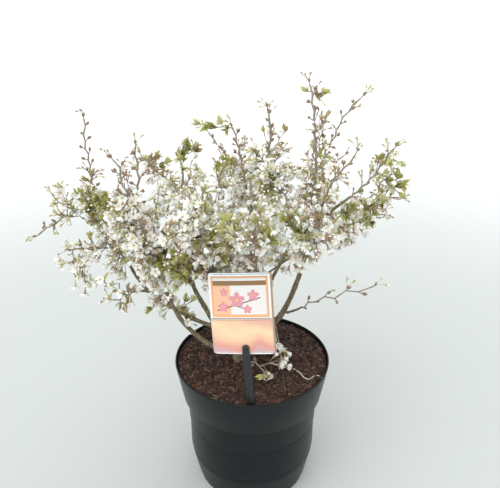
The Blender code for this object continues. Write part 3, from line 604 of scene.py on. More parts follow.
def limb_radii(name):
    """A limb's radii at its nodes: the trunk's table, or an even fall from a bough's foot to its tip."""
    if name == "trunk":
        return np.array([radius for _, radius in TRUNK_TAPER])
    return BOUGHS[name].foot * np.linspace(1.0, BOUGH_TAPER, BOUGH_STEPS + 1)


limb_routes = {"trunk": trunk_route()}
for name, bough in BOUGHS.items():
    start = along(limb_routes[bough.carrier], bough.leaves)
    limb_routes[name] = arc(start, bough.bend, bough.tip, BOUGH_KINK, BOUGH_STEPS)


def limb_skin(name):
    """A limb's relief: its radius tapers, swells at each node and is rough on two scales. The trunk does
    not swell, and its foot spreads in ribs."""
    sides = TRUNK_SIDES if name == "trunk" else LIMB_SIDES
    route = curved(limb_routes[name], LIMB_RINGS)
    radii = limb_radii(name)
    nodes = np.linspace(0.0, 1.0, len(radii))
    share = np.linspace(0.0, 1.0, LIMB_RINGS)
    radius = np.interp(share, nodes, radii)
    if name != "trunk":
        swell = np.exp(-(((share[:, None] - nodes[1:]) * route_length(route) / NODE_LENGTH) ** 2)).sum(1)
        radius = radius * (1 + NODE_SWELL * swell)
    points, _, _ = swept(route[None], radius[None], sides)
    rings = points[:-2].reshape(LIMB_RINGS, sides, 3)
    relief = np.ones((LIMB_RINGS, sides))
    for height, pitch, seed in BARK_RELIEF:
        relief += height * ripple(rings, pitch, seed)
    if name == "trunk":
        angle = np.linspace(0, 2 * math.pi, sides, endpoint=False)
        relief += RIB_HEIGHT * np.exp(-share / RIB_FADE)[:, None] * np.cos(RIBS * angle + RIB_TURN)
    return swept(route[None], (radius[:, None] * relief)[None], sides)


def joined(parts):
    """One set of points, quads and triangles from several."""
    points, quads, fans = [], [], []
    count = 0
    for part_points, part_quads, part_fans in parts:
        points.append(part_points)
        quads.append(part_quads + count)
        fans.append(part_fans + count)
        count += len(part_points)
    return np.vstack(points), np.vstack(quads), np.vstack(fans)


def bark_finish(name, light, dark, pore, scale):
    """Bark: two tones in raised patches, with pale pores over them as short dashes."""
    made = mottled(name, light, dark, scale, spread=0.16, roughness=0.78, bump=0.5, depth=0.0006,
                   specular=0.3)
    tree = made.node_tree
    base = tree.nodes["Principled BSDF"].inputs["Base Color"]
    place = add_node(tree, "ShaderNodeTexCoord")
    squeeze = add_node(tree, "ShaderNodeMapping", Scale=(1.0, 1.0, PORE_SQUEEZE))
    cells = add_node(tree, "ShaderNodeTexVoronoi", Scale=PORE_SCALE)
    dash = add_node(tree, "ShaderNodeMapRange", From_Min=PORE_EDGE[0], From_Max=PORE_EDGE[1])
    mix = colour_mix(tree, B=pore)
    tree.links.new(base.links[0].from_socket, mix.inputs["A"])
    wire(tree, (place, "Object", squeeze, "Vector"), (squeeze, "Vector", cells, "Vector"),
         (cells, "Distance", dash, "Value"), (dash, "Result", mix, "Factor"))
    tree.links.new(mix.outputs["Result"], base)
    return made


limb_bark = bark_finish("limb_bark", light=(0.250, 0.215, 0.135), dark=(0.110, 0.088, 0.052),
                        pore=(0.36, 0.31, 0.21), scale=240.0)
limbs = joined([limb_skin(name) for name in limb_routes])
piece("trunk_and_boughs", limbs, limb_bark, "bark", "trunk", *BOUGHS)


# The shoots and twigs. Each mass is a spray that grows on from a bough: a leading shoot, side twigs turned
# by the golden angle, and finer twigs on those, with spurs in their elbows. A tall shoot ends in a rod: last
# summer's growth, with buds in its elbows and no twigs yet.

# A mass has a shoot from a bough to a tip, and twigs up to about its spread. The shoot's first share is
# clear of them and its last is a rod. Bare is the share of twigs that is left out, bloom and leafy how much
# its spurs bear of blossoms and leaves.

Mass = namedtuple("Mass", "bough tip spread clear rod bare bloom leafy seed")
MASSES = {name: Mass(*values) for name, *values in (
    ("mass_left_tall", "bough_left_low", (-0.146, -0.030, 0.524), 0.042, 0.00, 0.50, 0.40, 0.6, 0.04, 11),
    ("mass_left_fore", "bough_left_fore", (-0.170, -0.052, 0.511), 0.036, 0.00, 0.60, 0.40, 0.5, 0.04, 12),
    ("mass_far_left", "bough_left_outer", (-0.315, 0.038, 0.358), 0.038, 0.00, 0.24, 0.00, 0.3, 0.55, 13),
    ("mass_left_high", "bough_left_rise", (-0.234, 0.078, 0.535), 0.036, 0.00, 0.80, 0.30, 0.3, 0.08, 14),
    ("mass_left_low", "bough_left_arm", (-0.259, 0.004, 0.356), 0.040, 0.00, 0.12, 0.00, 0.8, 0.19, 15),
    ("mass_left_droop", "bough_left_droop", (-0.200, -0.024, 0.288), 0.030, 0.35, 0.0, 0.20, 0.1, 0.22, 46),
    ("mass_inner_left", "bough_left_up", (-0.101, 0.044, 0.491), 0.056, 0.00, 0.14, 0.42, 0.8, 0.22, 17),
    ("mass_inner", "bough_inner", (-0.041, -0.010, 0.470), 0.054, 0.0, 0.40, 0.52, 0.8, 0.19, 18),
    ("mass_top", "bough_right", (0.071, 0.000, 0.596), 0.044, 0.10, 0.24, 0.45, 0.6, 0.30, 19),
    ("mass_right_low", "bough_right_low", (0.217, 0.040, 0.421), 0.040, 0.0, 0.05, 0.30, 0.6, 0.55, 20),
    ("mass_right", "bough_right_outer", (0.179, -0.030, 0.520), 0.026, 0.52, 0.04, 0.00, 0.3, 0.65, 21),
    ("mass_upper_right", "bough_right_rise", (0.154, 0.070, 0.563), 0.034, 0.00, 0.68, 0.40, 0.3, 0.08, 22),
    ("mass_mid_right", "bough_right_fore", (0.125, -0.088, 0.526), 0.020, 0.30, 0.45, 0.65, 0.5, 0.22, 23),
    ("mass_low_right", "bough_right_twig", (0.173, -0.030, 0.317), 0.014, 0.0, 1.0, 1.0, 0.0, 0.09, 24),
    ("mass_centre", "bough_centre", (0.019, 0.010, 0.563), 0.050, 0.00, 0.34, 0.35, 0.8, 0.26, 25),
    ("mass_centre_left", "bough_centre_rise", (-0.029, 0.060, 0.526), 0.030, 0.0, 0.7, 0.45, 0.5, 0.19, 26),
    ("mass_back_high", "bough_back_high", (-0.074, 0.145, 0.497), 0.038, 0.00, 0.20, 0.62, 0.6, 0.30, 27),
    ("mass_front_left", "bough_front_left", (-0.093, -0.125, 0.438), 0.060, 0.0, 0.0, 0.0, 1.0, 0.22, 28),
    ("mass_front", "bough_front", (-0.014, -0.150, 0.434), 0.060, 0.0, 0.0, 0.0, 1.0, 0.19, 29),
    ("mass_front_right", "bough_front_right", (0.085, -0.138, 0.429), 0.060, 0.0, 0.0, 0.0, 1.0, 0.19, 30),
    ("mass_back_left", "bough_back_left", (-0.190, 0.195, 0.444), 0.044, 0.00, 0.35, 0.55, 0.8, 0.22, 31),
    ("mass_back_left_low", "bough_back_left_low", (-0.219, 0.225, 0.326), 0.056, 0.0, 0.0, 0.0, 0.9, 0.22,
     32),
    ("mass_back", "bough_back", (-0.015, 0.245, 0.412), 0.048, 0.00, 0.25, 0.55, 0.9, 0.22, 33),
    ("mass_back_right", "bough_back_right", (0.155, 0.195, 0.444), 0.040, 0.00, 0.35, 0.50, 0.9, 0.22, 34),
    ("mass_back_right_low", "bough_back_right_low", (0.221, 0.170, 0.338), 0.054, 0.0, 0.0, 0.0, 0.9, 0.22,
     35),
    ("mass_low_front", "trunk", (0.022, -0.058, 0.203), 0.012, 0.00, 1.00, 1.00, 0.0, 0.10, 36),
)}
LOW_MASSES = ("mass_left_low", "mass_left_droop", "mass_low_right", "mass_low_front")

GAP = 0.0003
LOW_SHOOT_LEAVES = 0.30
LOW_SHOOT_WAY = (0.50, -1.0, 0.10)
LOW_SHOOT_START = 0.0075
LOW_SHOOT_RADIUS = 0.0016
SHOOT_LEAD = 0.006
SHOOT_BEND = 0.35
SHOOT_STEPS = 4
SHOOT_KINK = 0.0030
END_TUFT = 0.012
SHOOT_TIP_RADIUS = 0.0011
SHOOT_NODE_SPACING = 0.0072
SHOOT_ZIGZAG = 0.0012
BARE_STRIDE = 1.6
BARE_KINK = 2.6
BARE_GIRTH = 0.7
REACH = 1.25
NEARER = 0.8


def shoot_start(mass):
    """Where a mass's leading shoot starts, its first direction and its radius: on from its bough's tip,
    or for the low twig out of the trunk's side."""
    if mass.bough == "trunk":
        foot = along(limb_routes["trunk"], LOW_SHOOT_LEAVES)
        heading = unit(np.array(LOW_SHOOT_WAY))
        return foot + heading * LOW_SHOOT_START, heading, LOW_SHOOT_RADIUS
    route = limb_routes[mass.bough]
    heading = unit(route[-1] - route[-2])
    return route[-1] - heading * GAP, heading, limb_radii(mass.bough)[-1]


def shoot_route(mass):
    """The leading shoot: it follows its bough, then bends to the mass's tip, less the tuft that ends it."""
    start, heading, _ = shoot_start(mass)
    first = start + heading * SHOOT_LEAD
    reach = np.linalg.norm(np.array(mass.tip) - first)
    bend = first + heading * reach * SHOOT_BEND
    tip = np.array(mass.tip) - unit(np.array(mass.tip) - bend) * END_TUFT
    return np.vstack([start, arc(first, bend, tip, SHOOT_KINK, SHOOT_STEPS)])


shoots = {name: shoot_route(mass) for name, mass in MASSES.items()}


def distance_to_route(points, route):
    """The least distance from each point to a route, and how far along that is, as a share."""
    starts, runs = route[:-1], np.diff(route, axis=0)
    gaps = points[:, None, :] - starts[None, :, :]
    share = np.clip((gaps * runs).sum(2) / (runs * runs).sum(1), 0.0, 1.0)
    far = np.linalg.norm(gaps - share[:, :, None] * runs, axis=2)
    nearest = far.argmin(1)
    rows = np.arange(len(points))
    return far[rows, nearest], (nearest + share[rows, nearest]) / len(runs)


CARD_LOW, CARD_HIGH = (np.array(corner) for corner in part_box("label_card"))
ROOM_BEFORE_CARD = np.array([0.003, 0.045, 0.070])
ROOM_BEHIND_CARD = np.array([0.003, 0.008, 0.003])
CLEAR_OF_LIMB = 0.0015
CLEAR_OF_GROUND = 0.004
UNDERSIDE = ((-0.260, 0.300), (-0.200, 0.335), (-0.169, 0.331), (-0.143, 0.297), (-0.115, 0.293),
             (-0.073, 0.310), (-0.060, 0.322), (0.045, 0.340), (0.079, 0.352), (0.095, 0.382),
             (0.139, 0.388), (0.186, 0.398))
UNDERSIDE_FALL = 0.5
UNDERSIDE_LEAST = 0.26


def meets_label(points):
    """Whether points lie in the card's box or the room kept clear round it, most before and under it."""
    return ((points > CARD_LOW - ROOM_BEFORE_CARD) & (points < CARD_HIGH + ROOM_BEHIND_CARD)).all(-1)


def above_underside(points):
    """Whether points lie above the crown's underside, which is given across and falls to the back."""
    height = np.interp(points[:, 0], *zip(*UNDERSIDE)) - UNDERSIDE_FALL * points[:, 1]
    return points[:, 2] > np.maximum(height, UNDERSIDE_LEAST)


def free_space(points):
    """Which points are clear of limbs, soil and label."""
    kept = (points[:, 2] > SOIL_TOP + CLEAR_OF_GROUND) & ~meets_label(points)
    for limb, route in limb_routes.items():
        far, share = distance_to_route(points, route)
        thick = np.interp(share, np.linspace(0, 1, len(limb_radii(limb))), limb_radii(limb))
        kept &= far > thick + CLEAR_OF_LIMB
    return kept


def crown_space(points):
    """Which points are clear of all that and lie in the crown."""
    return free_space(points) & above_underside(points)


def own_space(name, points):
    """Which points also keep to a mass's own space: near its shoot, and about nearer to it than others."""
    own, _ = distance_to_route(points, shoots[name])
    space = free_space if name in LOW_MASSES else crown_space
    kept = (own < MASSES[name].spread * REACH) & space(points)
    for other, route in shoots.items():
        if other != name:
            kept &= distance_to_route(points, route)[0] > own * NEARER
    return kept


TWIG_RADIUS = 0.00085
FINE_TWIG_RADIUS = 0.00065
TWIG_POINTS = 7
TWIG_ZIGZAG = 0.026
TWIG_ANGLE = math.radians(46)
TWIG_RISE = 0.28
TWIG_SPACING = 0.0120
TWIG_SPAN = (0.04, 0.95)
TWIG_FOOT = 1.12
TWIG_FALL = 0.84
TWIG_RANGE = (0.28, 1.25)
TWIG_SKEW = 1.7
TWIG_NARROWS = 0.6
ELBOW_SWELL = 0.18
HEADING_STEP = 0.04
CUT_BACK = 0.8
CUTS = 8
FINE_TWIG_SPACING = 0.010
FINE_TWIG_SPAN = (0.22, 0.85)
FINE_TWIG_SHARE = 0.45
SHORTEST_TWIG = 0.006
GOLDEN_ANGLE = math.radians(137.5)


def offshoots(route, reach, spacing, span, bare, holds, rng):
    """Twigs off a route: evenly over a span of it, each turned on by the golden angle, and shorter
    towards the route's tip. Most are short and some long. A share of them is left out, and one that
    leaves its space is cut back until it fits."""
    count = max(1, round(route_length(route) * (span[1] - span[0]) / spacing))
    share = np.linspace(*span, count)
    feet = along(route, share)
    heading = unit(along(route, share + HEADING_STEP) - along(route, share - HEADING_STEP))
    turn = rng.uniform(0, 2 * math.pi) + GOLDEN_ANGLE * np.arange(count)
    across = unit(np.cross(heading, UP + np.array([0.01, 0.0, 0.0])))
    outward = np.cos(turn)[:, None] * across + np.sin(turn)[:, None] * np.cross(heading, across)
    ways = unit(math.cos(TWIG_ANGLE) * heading + math.sin(TWIG_ANGLE) * outward + TWIG_RISE * UP)
    vigour = TWIG_RANGE[0] + (TWIG_RANGE[1] - TWIG_RANGE[0]) * rng.random(count) ** TWIG_SKEW
    lengths = reach * (TWIG_FOOT - TWIG_FALL * share) * vigour * (rng.random(count) >= bare)
    for _ in range(CUTS):
        lengths = np.where(holds(feet + ways * lengths[:, None]), lengths, lengths * CUT_BACK)
    kept = lengths > SHORTEST_TWIG
    return share[kept], feet[kept], ways[kept], lengths[kept]


def bowed(feet, ways, lengths, rise, steps):
    """Routes that leave their feet along their ways and bend upwards by a rise that grows with the square
    of the way gone, or droop if the rise is negative."""
    share = np.linspace(0.0, 1.0, steps)[None, :, None]
    run = lengths[:, None, None] * share
    return feet[:, None] + ways[:, None] * run + rise * UP * run * share


def zigzag(routes, kinks, rng):
    """Moves the points of each route but its first to one side and the other in turn. Also gives each
    point's way out of its elbow."""
    heading = unit(routes[:, -1] - routes[:, 0])
    side = unit(np.cross(heading, unit(rng.normal(size=heading.shape))))
    turn = (-1.0) ** np.arange(routes.shape[1])
    outward = turn[:, None] * side[:, None]
    return routes + kinks[:, None, None] * outward * (np.arange(len(turn)) > 0)[:, None], outward


def noded(radii):
    """Radii that swell at every other point of their routes."""
    return radii * (1 + ELBOW_SWELL * (np.arange(radii.shape[-1]) % 2))


def twigs_off(route, reach, spacing, span, bare, holds, girth, rng):
    """Twigs off one route: their routes, girths and ways out of their elbows, and the shares of the route
    at which they leave it. Short twigs are thinner."""
    share, feet, ways, lengths = offshoots(route, reach, spacing, span, bare, holds, rng)
    bows = bowed(feet, ways, lengths, TWIG_RISE, TWIG_POINTS)
    routes, outward = zigzag(bows, lengths * TWIG_ZIGZAG, rng)
    stout = girth * (0.6 + 0.4 * np.minimum(lengths / reach, 1.0))
    return routes, noded(stout[:, None] * np.linspace(1.0, TWIG_NARROWS, TWIG_POINTS)), outward, share


ELBOW_SPACING = 0.0080
SPUR_LENGTHS = (0.0012, 0.0050)
SPUR_RADIUS = 0.00070
SPUR_PROFILE = (1.2, 1.0, 1.25)
SPUR_FORWARD = 0.75
SPUR_SCATTER = 0.35
SPUR_ROOT = 0.0015
SPUR_RISE = 0.2
SPUR_CLEARANCE = 0.004


def spurs_on(routes, outward, spacing, rng):
    """Spurs in the elbows of routes, as many as keep the elbows' spacing, and at every tip: the numbers of
    their routes and elbows, and their own routes."""
    steps = np.linalg.norm(np.diff(routes, axis=1), axis=2).mean(1)
    heading = unit(np.gradient(routes, axis=1))
    ways = unit(outward + SPUR_FORWARD * heading + SPUR_SCATTER * rng.normal(size=routes.shape))
    ways[:, -1] = heading[:, -1]
    taken = rng.random(routes.shape[:2]) < np.minimum(1.0, steps / spacing)[:, None]
    taken[:, 0] = False
    taken[:, -1] = True
    row, column = np.nonzero(taken)
    feet, ways = routes[row, column], ways[row, column]
    lengths = rng.uniform(*SPUR_LENGTHS, len(row))
    clear = free_space(feet + ways * SPUR_CLEARANCE)
    routes = bowed(feet, ways, lengths + SPUR_ROOT, SPUR_RISE, len(SPUR_PROFILE))
    return row[clear], column[clear], routes[clear]


BOUGH_TWIG_SPREAD = 0.050
BOUGH_TWIG_SPACING = 0.0125
BOUGH_TWIG_SPAN = (0.50, 0.98)
EARLY_TWIGS = {"bough_left_low": 0.36, "bough_left_up": 0.30, "bough_left_arm": 0.40,
               "bough_inner": 0.15, "bough_front_left": 0.42, "bough_front": 0.20,
               "bough_front_right": 0.12, "bough_centre": 0.40}
CLEAR_BOUGHS = ("bough_right_outer", "bough_right_twig")
BOUGH_BARE = 0.1
BOUGH_BLOOM = 0.95
BOUGH_LEAFY = 0.18
BOUGH_DEPTH = 0.1
EARLY_BLOOM = 0.0
EARLY_LEAFY = 1.6
BOUGH_NUMBER = len(MASSES)
EARLY_NUMBER = len(MASSES) + 1

# Further sprays, each a few twigs from the nearest limb or twig: the middle of their tips, how far the tips
# lie from it, and how many they are. The leafy ones broke early and carry thick tufts of larger leaves.
SPRAYS = ((-0.096, -0.045, 0.348, 0.013, 4, "leaf"), (-0.104, -0.045, 0.364, 0.012, 4, "leaf"),
          (-0.087, -0.045, 0.369, 0.010, 3, "leaf"), (-0.059, -0.078, 0.407, 0.010, 4, "leaf"),
          (-0.034, -0.078, 0.390, 0.011, 4, "leaf"), (0.012, -0.088, 0.405, 0.009, 4, "leaf"),
          (0.055, -0.083, 0.428, 0.012, 4, "leaf"), (-0.026, -0.110, 0.436, 0.009, 2, "leaf"),
          (-0.211, 0.030, 0.414, 0.012, 2, "leaf"), (-0.193, 0.030, 0.402, 0.012, 2, "leaf"),
          (-0.222, 0.030, 0.387, 0.010, 1, "leaf"), (0.129, 0.020, 0.403, 0.012, 2, "leaf"),
          (0.156, 0.020, 0.406, 0.013, 3, "leaf"), (0.178, 0.010, 0.420, 0.010, 1, "leaf"),
          (0.177, -0.030, 0.464, 0.010, 2, "leaf"), (0.182, -0.030, 0.496, 0.008, 1, "leaf"),
          (-0.033, 0.000, 0.476, 0.008, 2, "leaf"), (0.070, 0.000, 0.576, 0.004, 1, "leaf"),
          (0.085, 0.000, 0.576, 0.004, 1, "leaf"), (0.026, 0.000, 0.456, 0.010, 3, "leaf"),
          (-0.146, 0.020, 0.254, 0.003, 1, "leaf"), (-0.091, 0.000, 0.274, 0.004, 1, "leaf"),
          (-0.039, -0.060, 0.375, 0.016, 5, "bloom"), (-0.048, -0.050, 0.356, 0.010, 3, "bloom"),
          (0.042, 0.000, 0.459, 0.020, 4, "bloom"), (0.039, 0.000, 0.437, 0.014, 3, "bloom"),
          (-0.252, 0.000, 0.331, 0.008, 1, "bloom"), (-0.232, 0.000, 0.312, 0.010, 1, "bloom"),
          (-0.206, 0.000, 0.318, 0.010, 1, "bloom"), (-0.182, 0.000, 0.340, 0.012, 1, "bloom"),
          (-0.140, -0.010, 0.333, 0.014, 2, "bloom"), (-0.129, 0.000, 0.309, 0.010, 1, "bloom"),
          (-0.150, 0.200, 0.420, 0.014, 4, "leaf"), (0.020, 0.235, 0.380, 0.014, 4, "leaf"),
          (0.120, 0.190, 0.420, 0.014, 4, "leaf"), (-0.156, -0.040, 0.413, 0.012, 4, "bloom"),
          (-0.146, -0.040, 0.391, 0.012, 4, "bloom"), (-0.139, -0.035, 0.369, 0.012, 4, "bloom"),
          (-0.131, -0.030, 0.346, 0.010, 3, "bloom"), (-0.165, -0.040, 0.435, 0.012, 3, "bloom"),
          (-0.105, -0.030, 0.387, 0.012, 3, "bloom"), (-0.088, 0.020, 0.495, 0.010, 1, "leaf"),
          (-0.070, 0.020, 0.495, 0.010, 1, "leaf"), (-0.065, 0.060, 0.512, 0.008, 1, "leaf"),
          (0.040, -0.011, 0.206, 0.001, 1, "bloom"), (0.031, -0.033, 0.203, 0.001, 1, "bloom"),
          (0.021, -0.061, 0.200, 0.001, 1, "bloom"), (-0.090, 0.130, 0.340, 0.024, 5, "bloom"),
          (0.045, 0.190, 0.340, 0.024, 5, "bloom"), (0.140, 0.120, 0.345, 0.020, 4, "bloom"))

bloom_of = np.array([mass.bloom for mass in MASSES.values()] + [BOUGH_BLOOM, EARLY_BLOOM])
leafy_of = np.array([mass.leafy for mass in MASSES.values()] + [BOUGH_LEAFY, EARLY_LEAFY])
shoot_parts = {"brown": [], "grey": []}
twig_groups = []
spur_groups = []
spray_count = 0


def keep_twigs(twigs, depth, number, sprays):
    """Keeps twigs' routes, girths and ways, with how deep they stand and the numbers of mass and sprays."""
    marks = (np.broadcast_to(mark, len(twigs[0])) for mark in (depth, number, sprays))
    twig_groups.append((*twigs, *marks))


for number, (name, mass) in enumerate(MASSES.items()):
    rng = np.random.default_rng(mass.seed)

    def holds(points):
        return own_space(name, points)

    stride, kink, girth = (BARE_STRIDE, BARE_KINK, BARE_GIRTH) if mass.rod == 1 else (1, 1, 1)
    nodes = max(4, round(route_length(shoots[name]) / (SHOOT_NODE_SPACING * stride)))
    shoot, outward = zigzag(curved(shoots[name], nodes)[None], np.array([SHOOT_ZIGZAG * kink]), rng)
    thick = noded(np.linspace(shoot_start(mass)[2], SHOOT_TIP_RADIUS * girth, nodes))
    shoot_parts["grey" if number % 3 else "brown"].append(swept(shoot, thick[None], sides=8))
    _, column, spur_routes = spurs_on(shoot, outward, SHOOT_NODE_SPACING, rng)
    depth = column / (nodes - 1)
    count = len(column)
    spur_groups.append((spur_routes, depth, np.full(count, number), np.full(count, spray_count),
                        depth > 1 - mass.rod, column == nodes - 1))
    span = (max(TWIG_SPAN[0], mass.clear), max(TWIG_SPAN[1] - mass.rod, 0.2))
    *twigs, share = twigs_off(
        shoot[0], mass.spread, TWIG_SPACING, span, mass.bare, holds, TWIG_RADIUS, rng
    )
    sprays = spray_count + 1 + np.arange(len(share))
    spray_count += 1 + len(share)
    keep_twigs(twigs, share, number, sprays)
    for twig, depth, spray in zip(twigs[0], share, sprays):
        reach = np.linalg.norm(twig[-1] - twig[0]) * FINE_TWIG_SHARE
        *twigs, _ = twigs_off(
            twig, reach, FINE_TWIG_SPACING, FINE_TWIG_SPAN, mass.bare, holds, FINE_TWIG_RADIUS, rng
        )
        keep_twigs(twigs, depth, number, spray)

bough_rng = np.random.default_rng(41)
for name in [bough for bough in BOUGHS if bough not in CLEAR_BOUGHS]:
    span = (EARLY_TWIGS.get(name, BOUGH_TWIG_SPAN[0]), BOUGH_TWIG_SPAN[1])
    *twigs, share = twigs_off(
        curved(limb_routes[name], LIMB_RINGS), BOUGH_TWIG_SPREAD, BOUGH_TWIG_SPACING, span, BOUGH_BARE,
        crown_space, TWIG_RADIUS, bough_rng
    )
    keep_twigs(twigs, BOUGH_DEPTH, BOUGH_NUMBER, spray_count + np.arange(len(share)))
    spray_count += len(share)

extra_rng = np.random.default_rng(43)
stems = np.concatenate([group[0][:, 2:].reshape(-1, 3) for group in twig_groups]
                       + [curved(limb_routes[name], LIMB_RINGS)[LIMB_RINGS // 3:] for name in BOUGHS]
                       + [curved(shoots[name], LIMB_RINGS)[2:] for name in MASSES])
for *place, reach, count, kind in SPRAYS:
    foot = stems[np.linalg.norm(stems - place, axis=1).argmin()]
    runs = np.array(place) + reach * extra_rng.uniform(-1.0, 1.0, (count, 3)) - foot
    lengths = np.linalg.norm(runs, axis=1)
    feet = np.repeat(foot[None], count, axis=0)
    routes = bowed(feet, runs / lengths[:, None], lengths, 0.0, TWIG_POINTS)
    twigs, outward = zigzag(routes, lengths * TWIG_ZIGZAG, extra_rng)
    girths = noded(TWIG_RADIUS * np.linspace(1.0, TWIG_NARROWS, TWIG_POINTS) * np.ones((count, 1)))
    number = EARLY_NUMBER if kind == "leaf" else BOUGH_NUMBER
    keep_twigs((twigs, girths, outward), BOUGH_DEPTH, number, spray_count + np.arange(count))
    spray_count += count

twigs, girths, outward, twig_depth, twig_mass, twig_spray = (
    np.concatenate(part) for part in zip(*twig_groups)
)
spur_rng = np.random.default_rng(42)
row, column, spur_routes = spurs_on(twigs, outward, ELBOW_SPACING, spur_rng)
spur_groups.append((spur_routes, twig_depth[row], twig_mass[row], twig_spray[row],
                    np.zeros(len(row), bool), column == TWIG_POINTS - 1))
spur_routes, spur_depth, spur_mass, spur_spray, on_rod, at_tip = (
    np.concatenate(part) for part in zip(*spur_groups)
)
tips = spur_routes[:, -1]
tip_ways = unit(spur_routes[:, -1] - spur_routes[:, -2])
spur_girths = SPUR_RADIUS * np.array(SPUR_PROFILE) * np.ones((len(tips), 1))

shoot_parts["brown"].append(swept(twigs[::2], girths[::2], sides=6))
shoot_parts["grey"].append(swept(twigs[1::2], girths[1::2], sides=6))
shoot_parts["grey"].append(swept(spur_routes, spur_girths, sides=5))
for label, light, dark, pore in (
    ("brown", (0.430, 0.335, 0.255), (0.215, 0.158, 0.120), (0.54, 0.47, 0.37)),
    ("grey", (0.390, 0.350, 0.285), (0.195, 0.168, 0.135), (0.54, 0.50, 0.41)),
):
    finish = bark_finish(f"bark_{label}", light, dark, pore, 420.0)
    piece(f"shoots_{label}", joined(shoot_parts[label]), finish, "bark", *MASSES)


# The buds. Pointed buds with brown scales sit at the spurs' tips: one on each, and two larger ones side by
# side on those of a rod.

BUD_LENGTH = 0.0038
ROD_BUD_LENGTH = 0.0062
BUD_SIZES = (0.7, 1.25)
BUD_SCATTER = 0.40
BUD_SINK = 0.0006


def bud_shape():
    """A spindle: rings whose radius follows a sine that is fuller towards its foot."""
    share = np.linspace(0.0, 1.0, 5)
    width = 0.30 * np.sin(math.pi * share**0.75)
    points, *faces = turned(np.stack([width, share], axis=-1), 5)
    return points, outward_faces(*faces)


bud_rng = np.random.default_rng(51)
bud_host = np.repeat(np.arange(len(tips)), 1 + on_rod)
bud_ways = tip_ways[bud_host] + BUD_SCATTER * bud_rng.normal(size=(len(bud_host), 3))
bud_turns = rotations(bud_ways, bud_rng.uniform(0, 2 * math.pi, len(bud_host)))
bud_sizes = np.where(on_rod, ROD_BUD_LENGTH, BUD_LENGTH)[bud_host]
bud_sizes = bud_sizes * bud_rng.uniform(*BUD_SIZES, len(bud_host))
bud_feet = tips[bud_host] - BUD_SINK * tip_ways[bud_host]
bud_finish = mottled("bud_scales", (0.365, 0.250, 0.170), (0.195, 0.125, 0.085), scale=900.0, spread=0.2,
                     roughness=0.5, bump=0.3, depth=0.0002)
buds = scattered(*bud_shape(), bud_feet, bud_turns, bud_sizes)
piece("winter_buds", buds, bud_finish, "blossom_and_leaf")


# The blossoms. They open in ones to fours from a bud, nodding on short stalks: an olive or reddish tube
# with five sepals, five narrow white petals with a notch, some flushed pink, and a few yellow stamens.
# Others stand still closed in fans of longer stalks.

BLOSSOM_RADIUS = 0.0076
OPEN_SIZES = (0.82, 1.15)
CLOSED_SIZES = (0.46, 0.70)
CALYX_LENGTH = 0.75
CLOSED_CALYX = 1.15
STALK_PROFILE = (1.5, 1.0, 1.0, 1.5)
STALK_SCATTER = 0.22
OPEN_DROOP = 0.45
OPEN_SCATTER = 0.85
CLOSED_DROOP = 0.15
CLOSED_SCATTER = 0.38
BLUSH_TENTHS = 3
GREEN_TENTHS = 6
STALK_LENGTHS = (0.005, 0.012)
FAN_STALK_LENGTHS = (0.008, 0.015)
STALK_RADIUS = 0.00036
OPEN_SHARE = 0.95
OPEN_FALL = 0.85
BLOOM_HEIGHTS = (0.425, 0.490)
BLOOM_SHARES = (1.0, 0.14)
FAN_SHARE = 0.42
ROD_FAN_SHARE = 0.26
TIP_FAN_SHARE = 0.90
EARLY_FAN_SHARE = 0.12


def petal_shape(openness, cup):
    """One petal on a grid: it widens as the root of the way out and rounds off at its end, where its
    middle is notched. It leans out from the axis by its openness and its sides cup inwards."""
    way, side = np.meshgrid(np.linspace(0.0, 1.0, 4), np.linspace(-1.0, 1.0, 5), indexing="ij")
    width = 0.43 * (0.12 + np.sqrt(way) * 0.90) * np.sqrt(1 - 0.62 * way**5)
    notch = 0.17 * (1 - np.abs(side)) * way**4 + 0.12 * np.abs(side) ** 3 * way**2
    out = way - notch
    lift = cup * (side * width) ** 2 * 1.6 + 0.22 * way**2
    y = out * math.sin(openness) - lift * math.cos(openness) + 0.08
    z = out * math.cos(openness) + lift * math.sin(openness)
    quads = grid_faces(4, 5, False)
    points = np.stack([side * width, y, z], axis=-1).reshape(-1, 3)
    return points, np.vstack([quads[:, :3], quads[:, [0, 2, 3]]])


def corolla_shape(openness, cup, seed):
    """Five petals round the axis, each a little askew."""
    rng = np.random.default_rng(seed)
    points, faces = [], []
    for i in range(5):
        petal, petal_faces = petal_shape(openness + rng.normal(0, 0.16), cup)
        turn = 2 * math.pi * i / 5 + rng.normal(0, 0.08)
        cos, sin = math.cos(turn), math.sin(turn)
        x, y = petal[:, 0] * cos - petal[:, 1] * sin, petal[:, 0] * sin + petal[:, 1] * cos
        points.append(np.stack([x, y, petal[:, 2]], axis=-1))
        faces.append(petal_faces + len(petal) * i)
    return np.vstack(points), np.vstack(faces)


def closed_shape():
    """A closed blossom: an egg of folded petals on its tube."""
    share = np.linspace(0.0, 1.0, 6)
    width = 0.34 * np.sin(math.pi * share**0.8)
    points, *faces = turned(np.stack([width, 0.78 * share - 0.05], axis=-1), 7)
    return points, outward_faces(*faces)


def calyx_shape():
    """A narrow tube along the axis that flares to its mouth and ends in a star of sepals."""
    share = np.array([0.0, 0.2, 0.8, 1.0])[:, None]
    width = np.array([0.11, 0.17, 0.20, 0.28])[:, None]
    angle = np.linspace(0, 2 * math.pi, 10, endpoint=False)
    star = np.where(np.arange(10) % 2, 0.65, 1.5)
    spread = width * np.where(share > 0.99, star, 1.0)
    height = -CALYX_LENGTH + 0.80 * share - 0.10 * (share > 0.99) * (star - 0.65) + 0 * spread
    rings = np.stack([spread * np.cos(angle), spread * np.sin(angle), height], axis=-1)
    points = np.vstack([rings.reshape(-1, 3), [[0.0, 0.0, -CALYX_LENGTH]], [[0.0, 0.0, 0.06]]])
    return points, outward_faces(*tube_faces(4, 10))


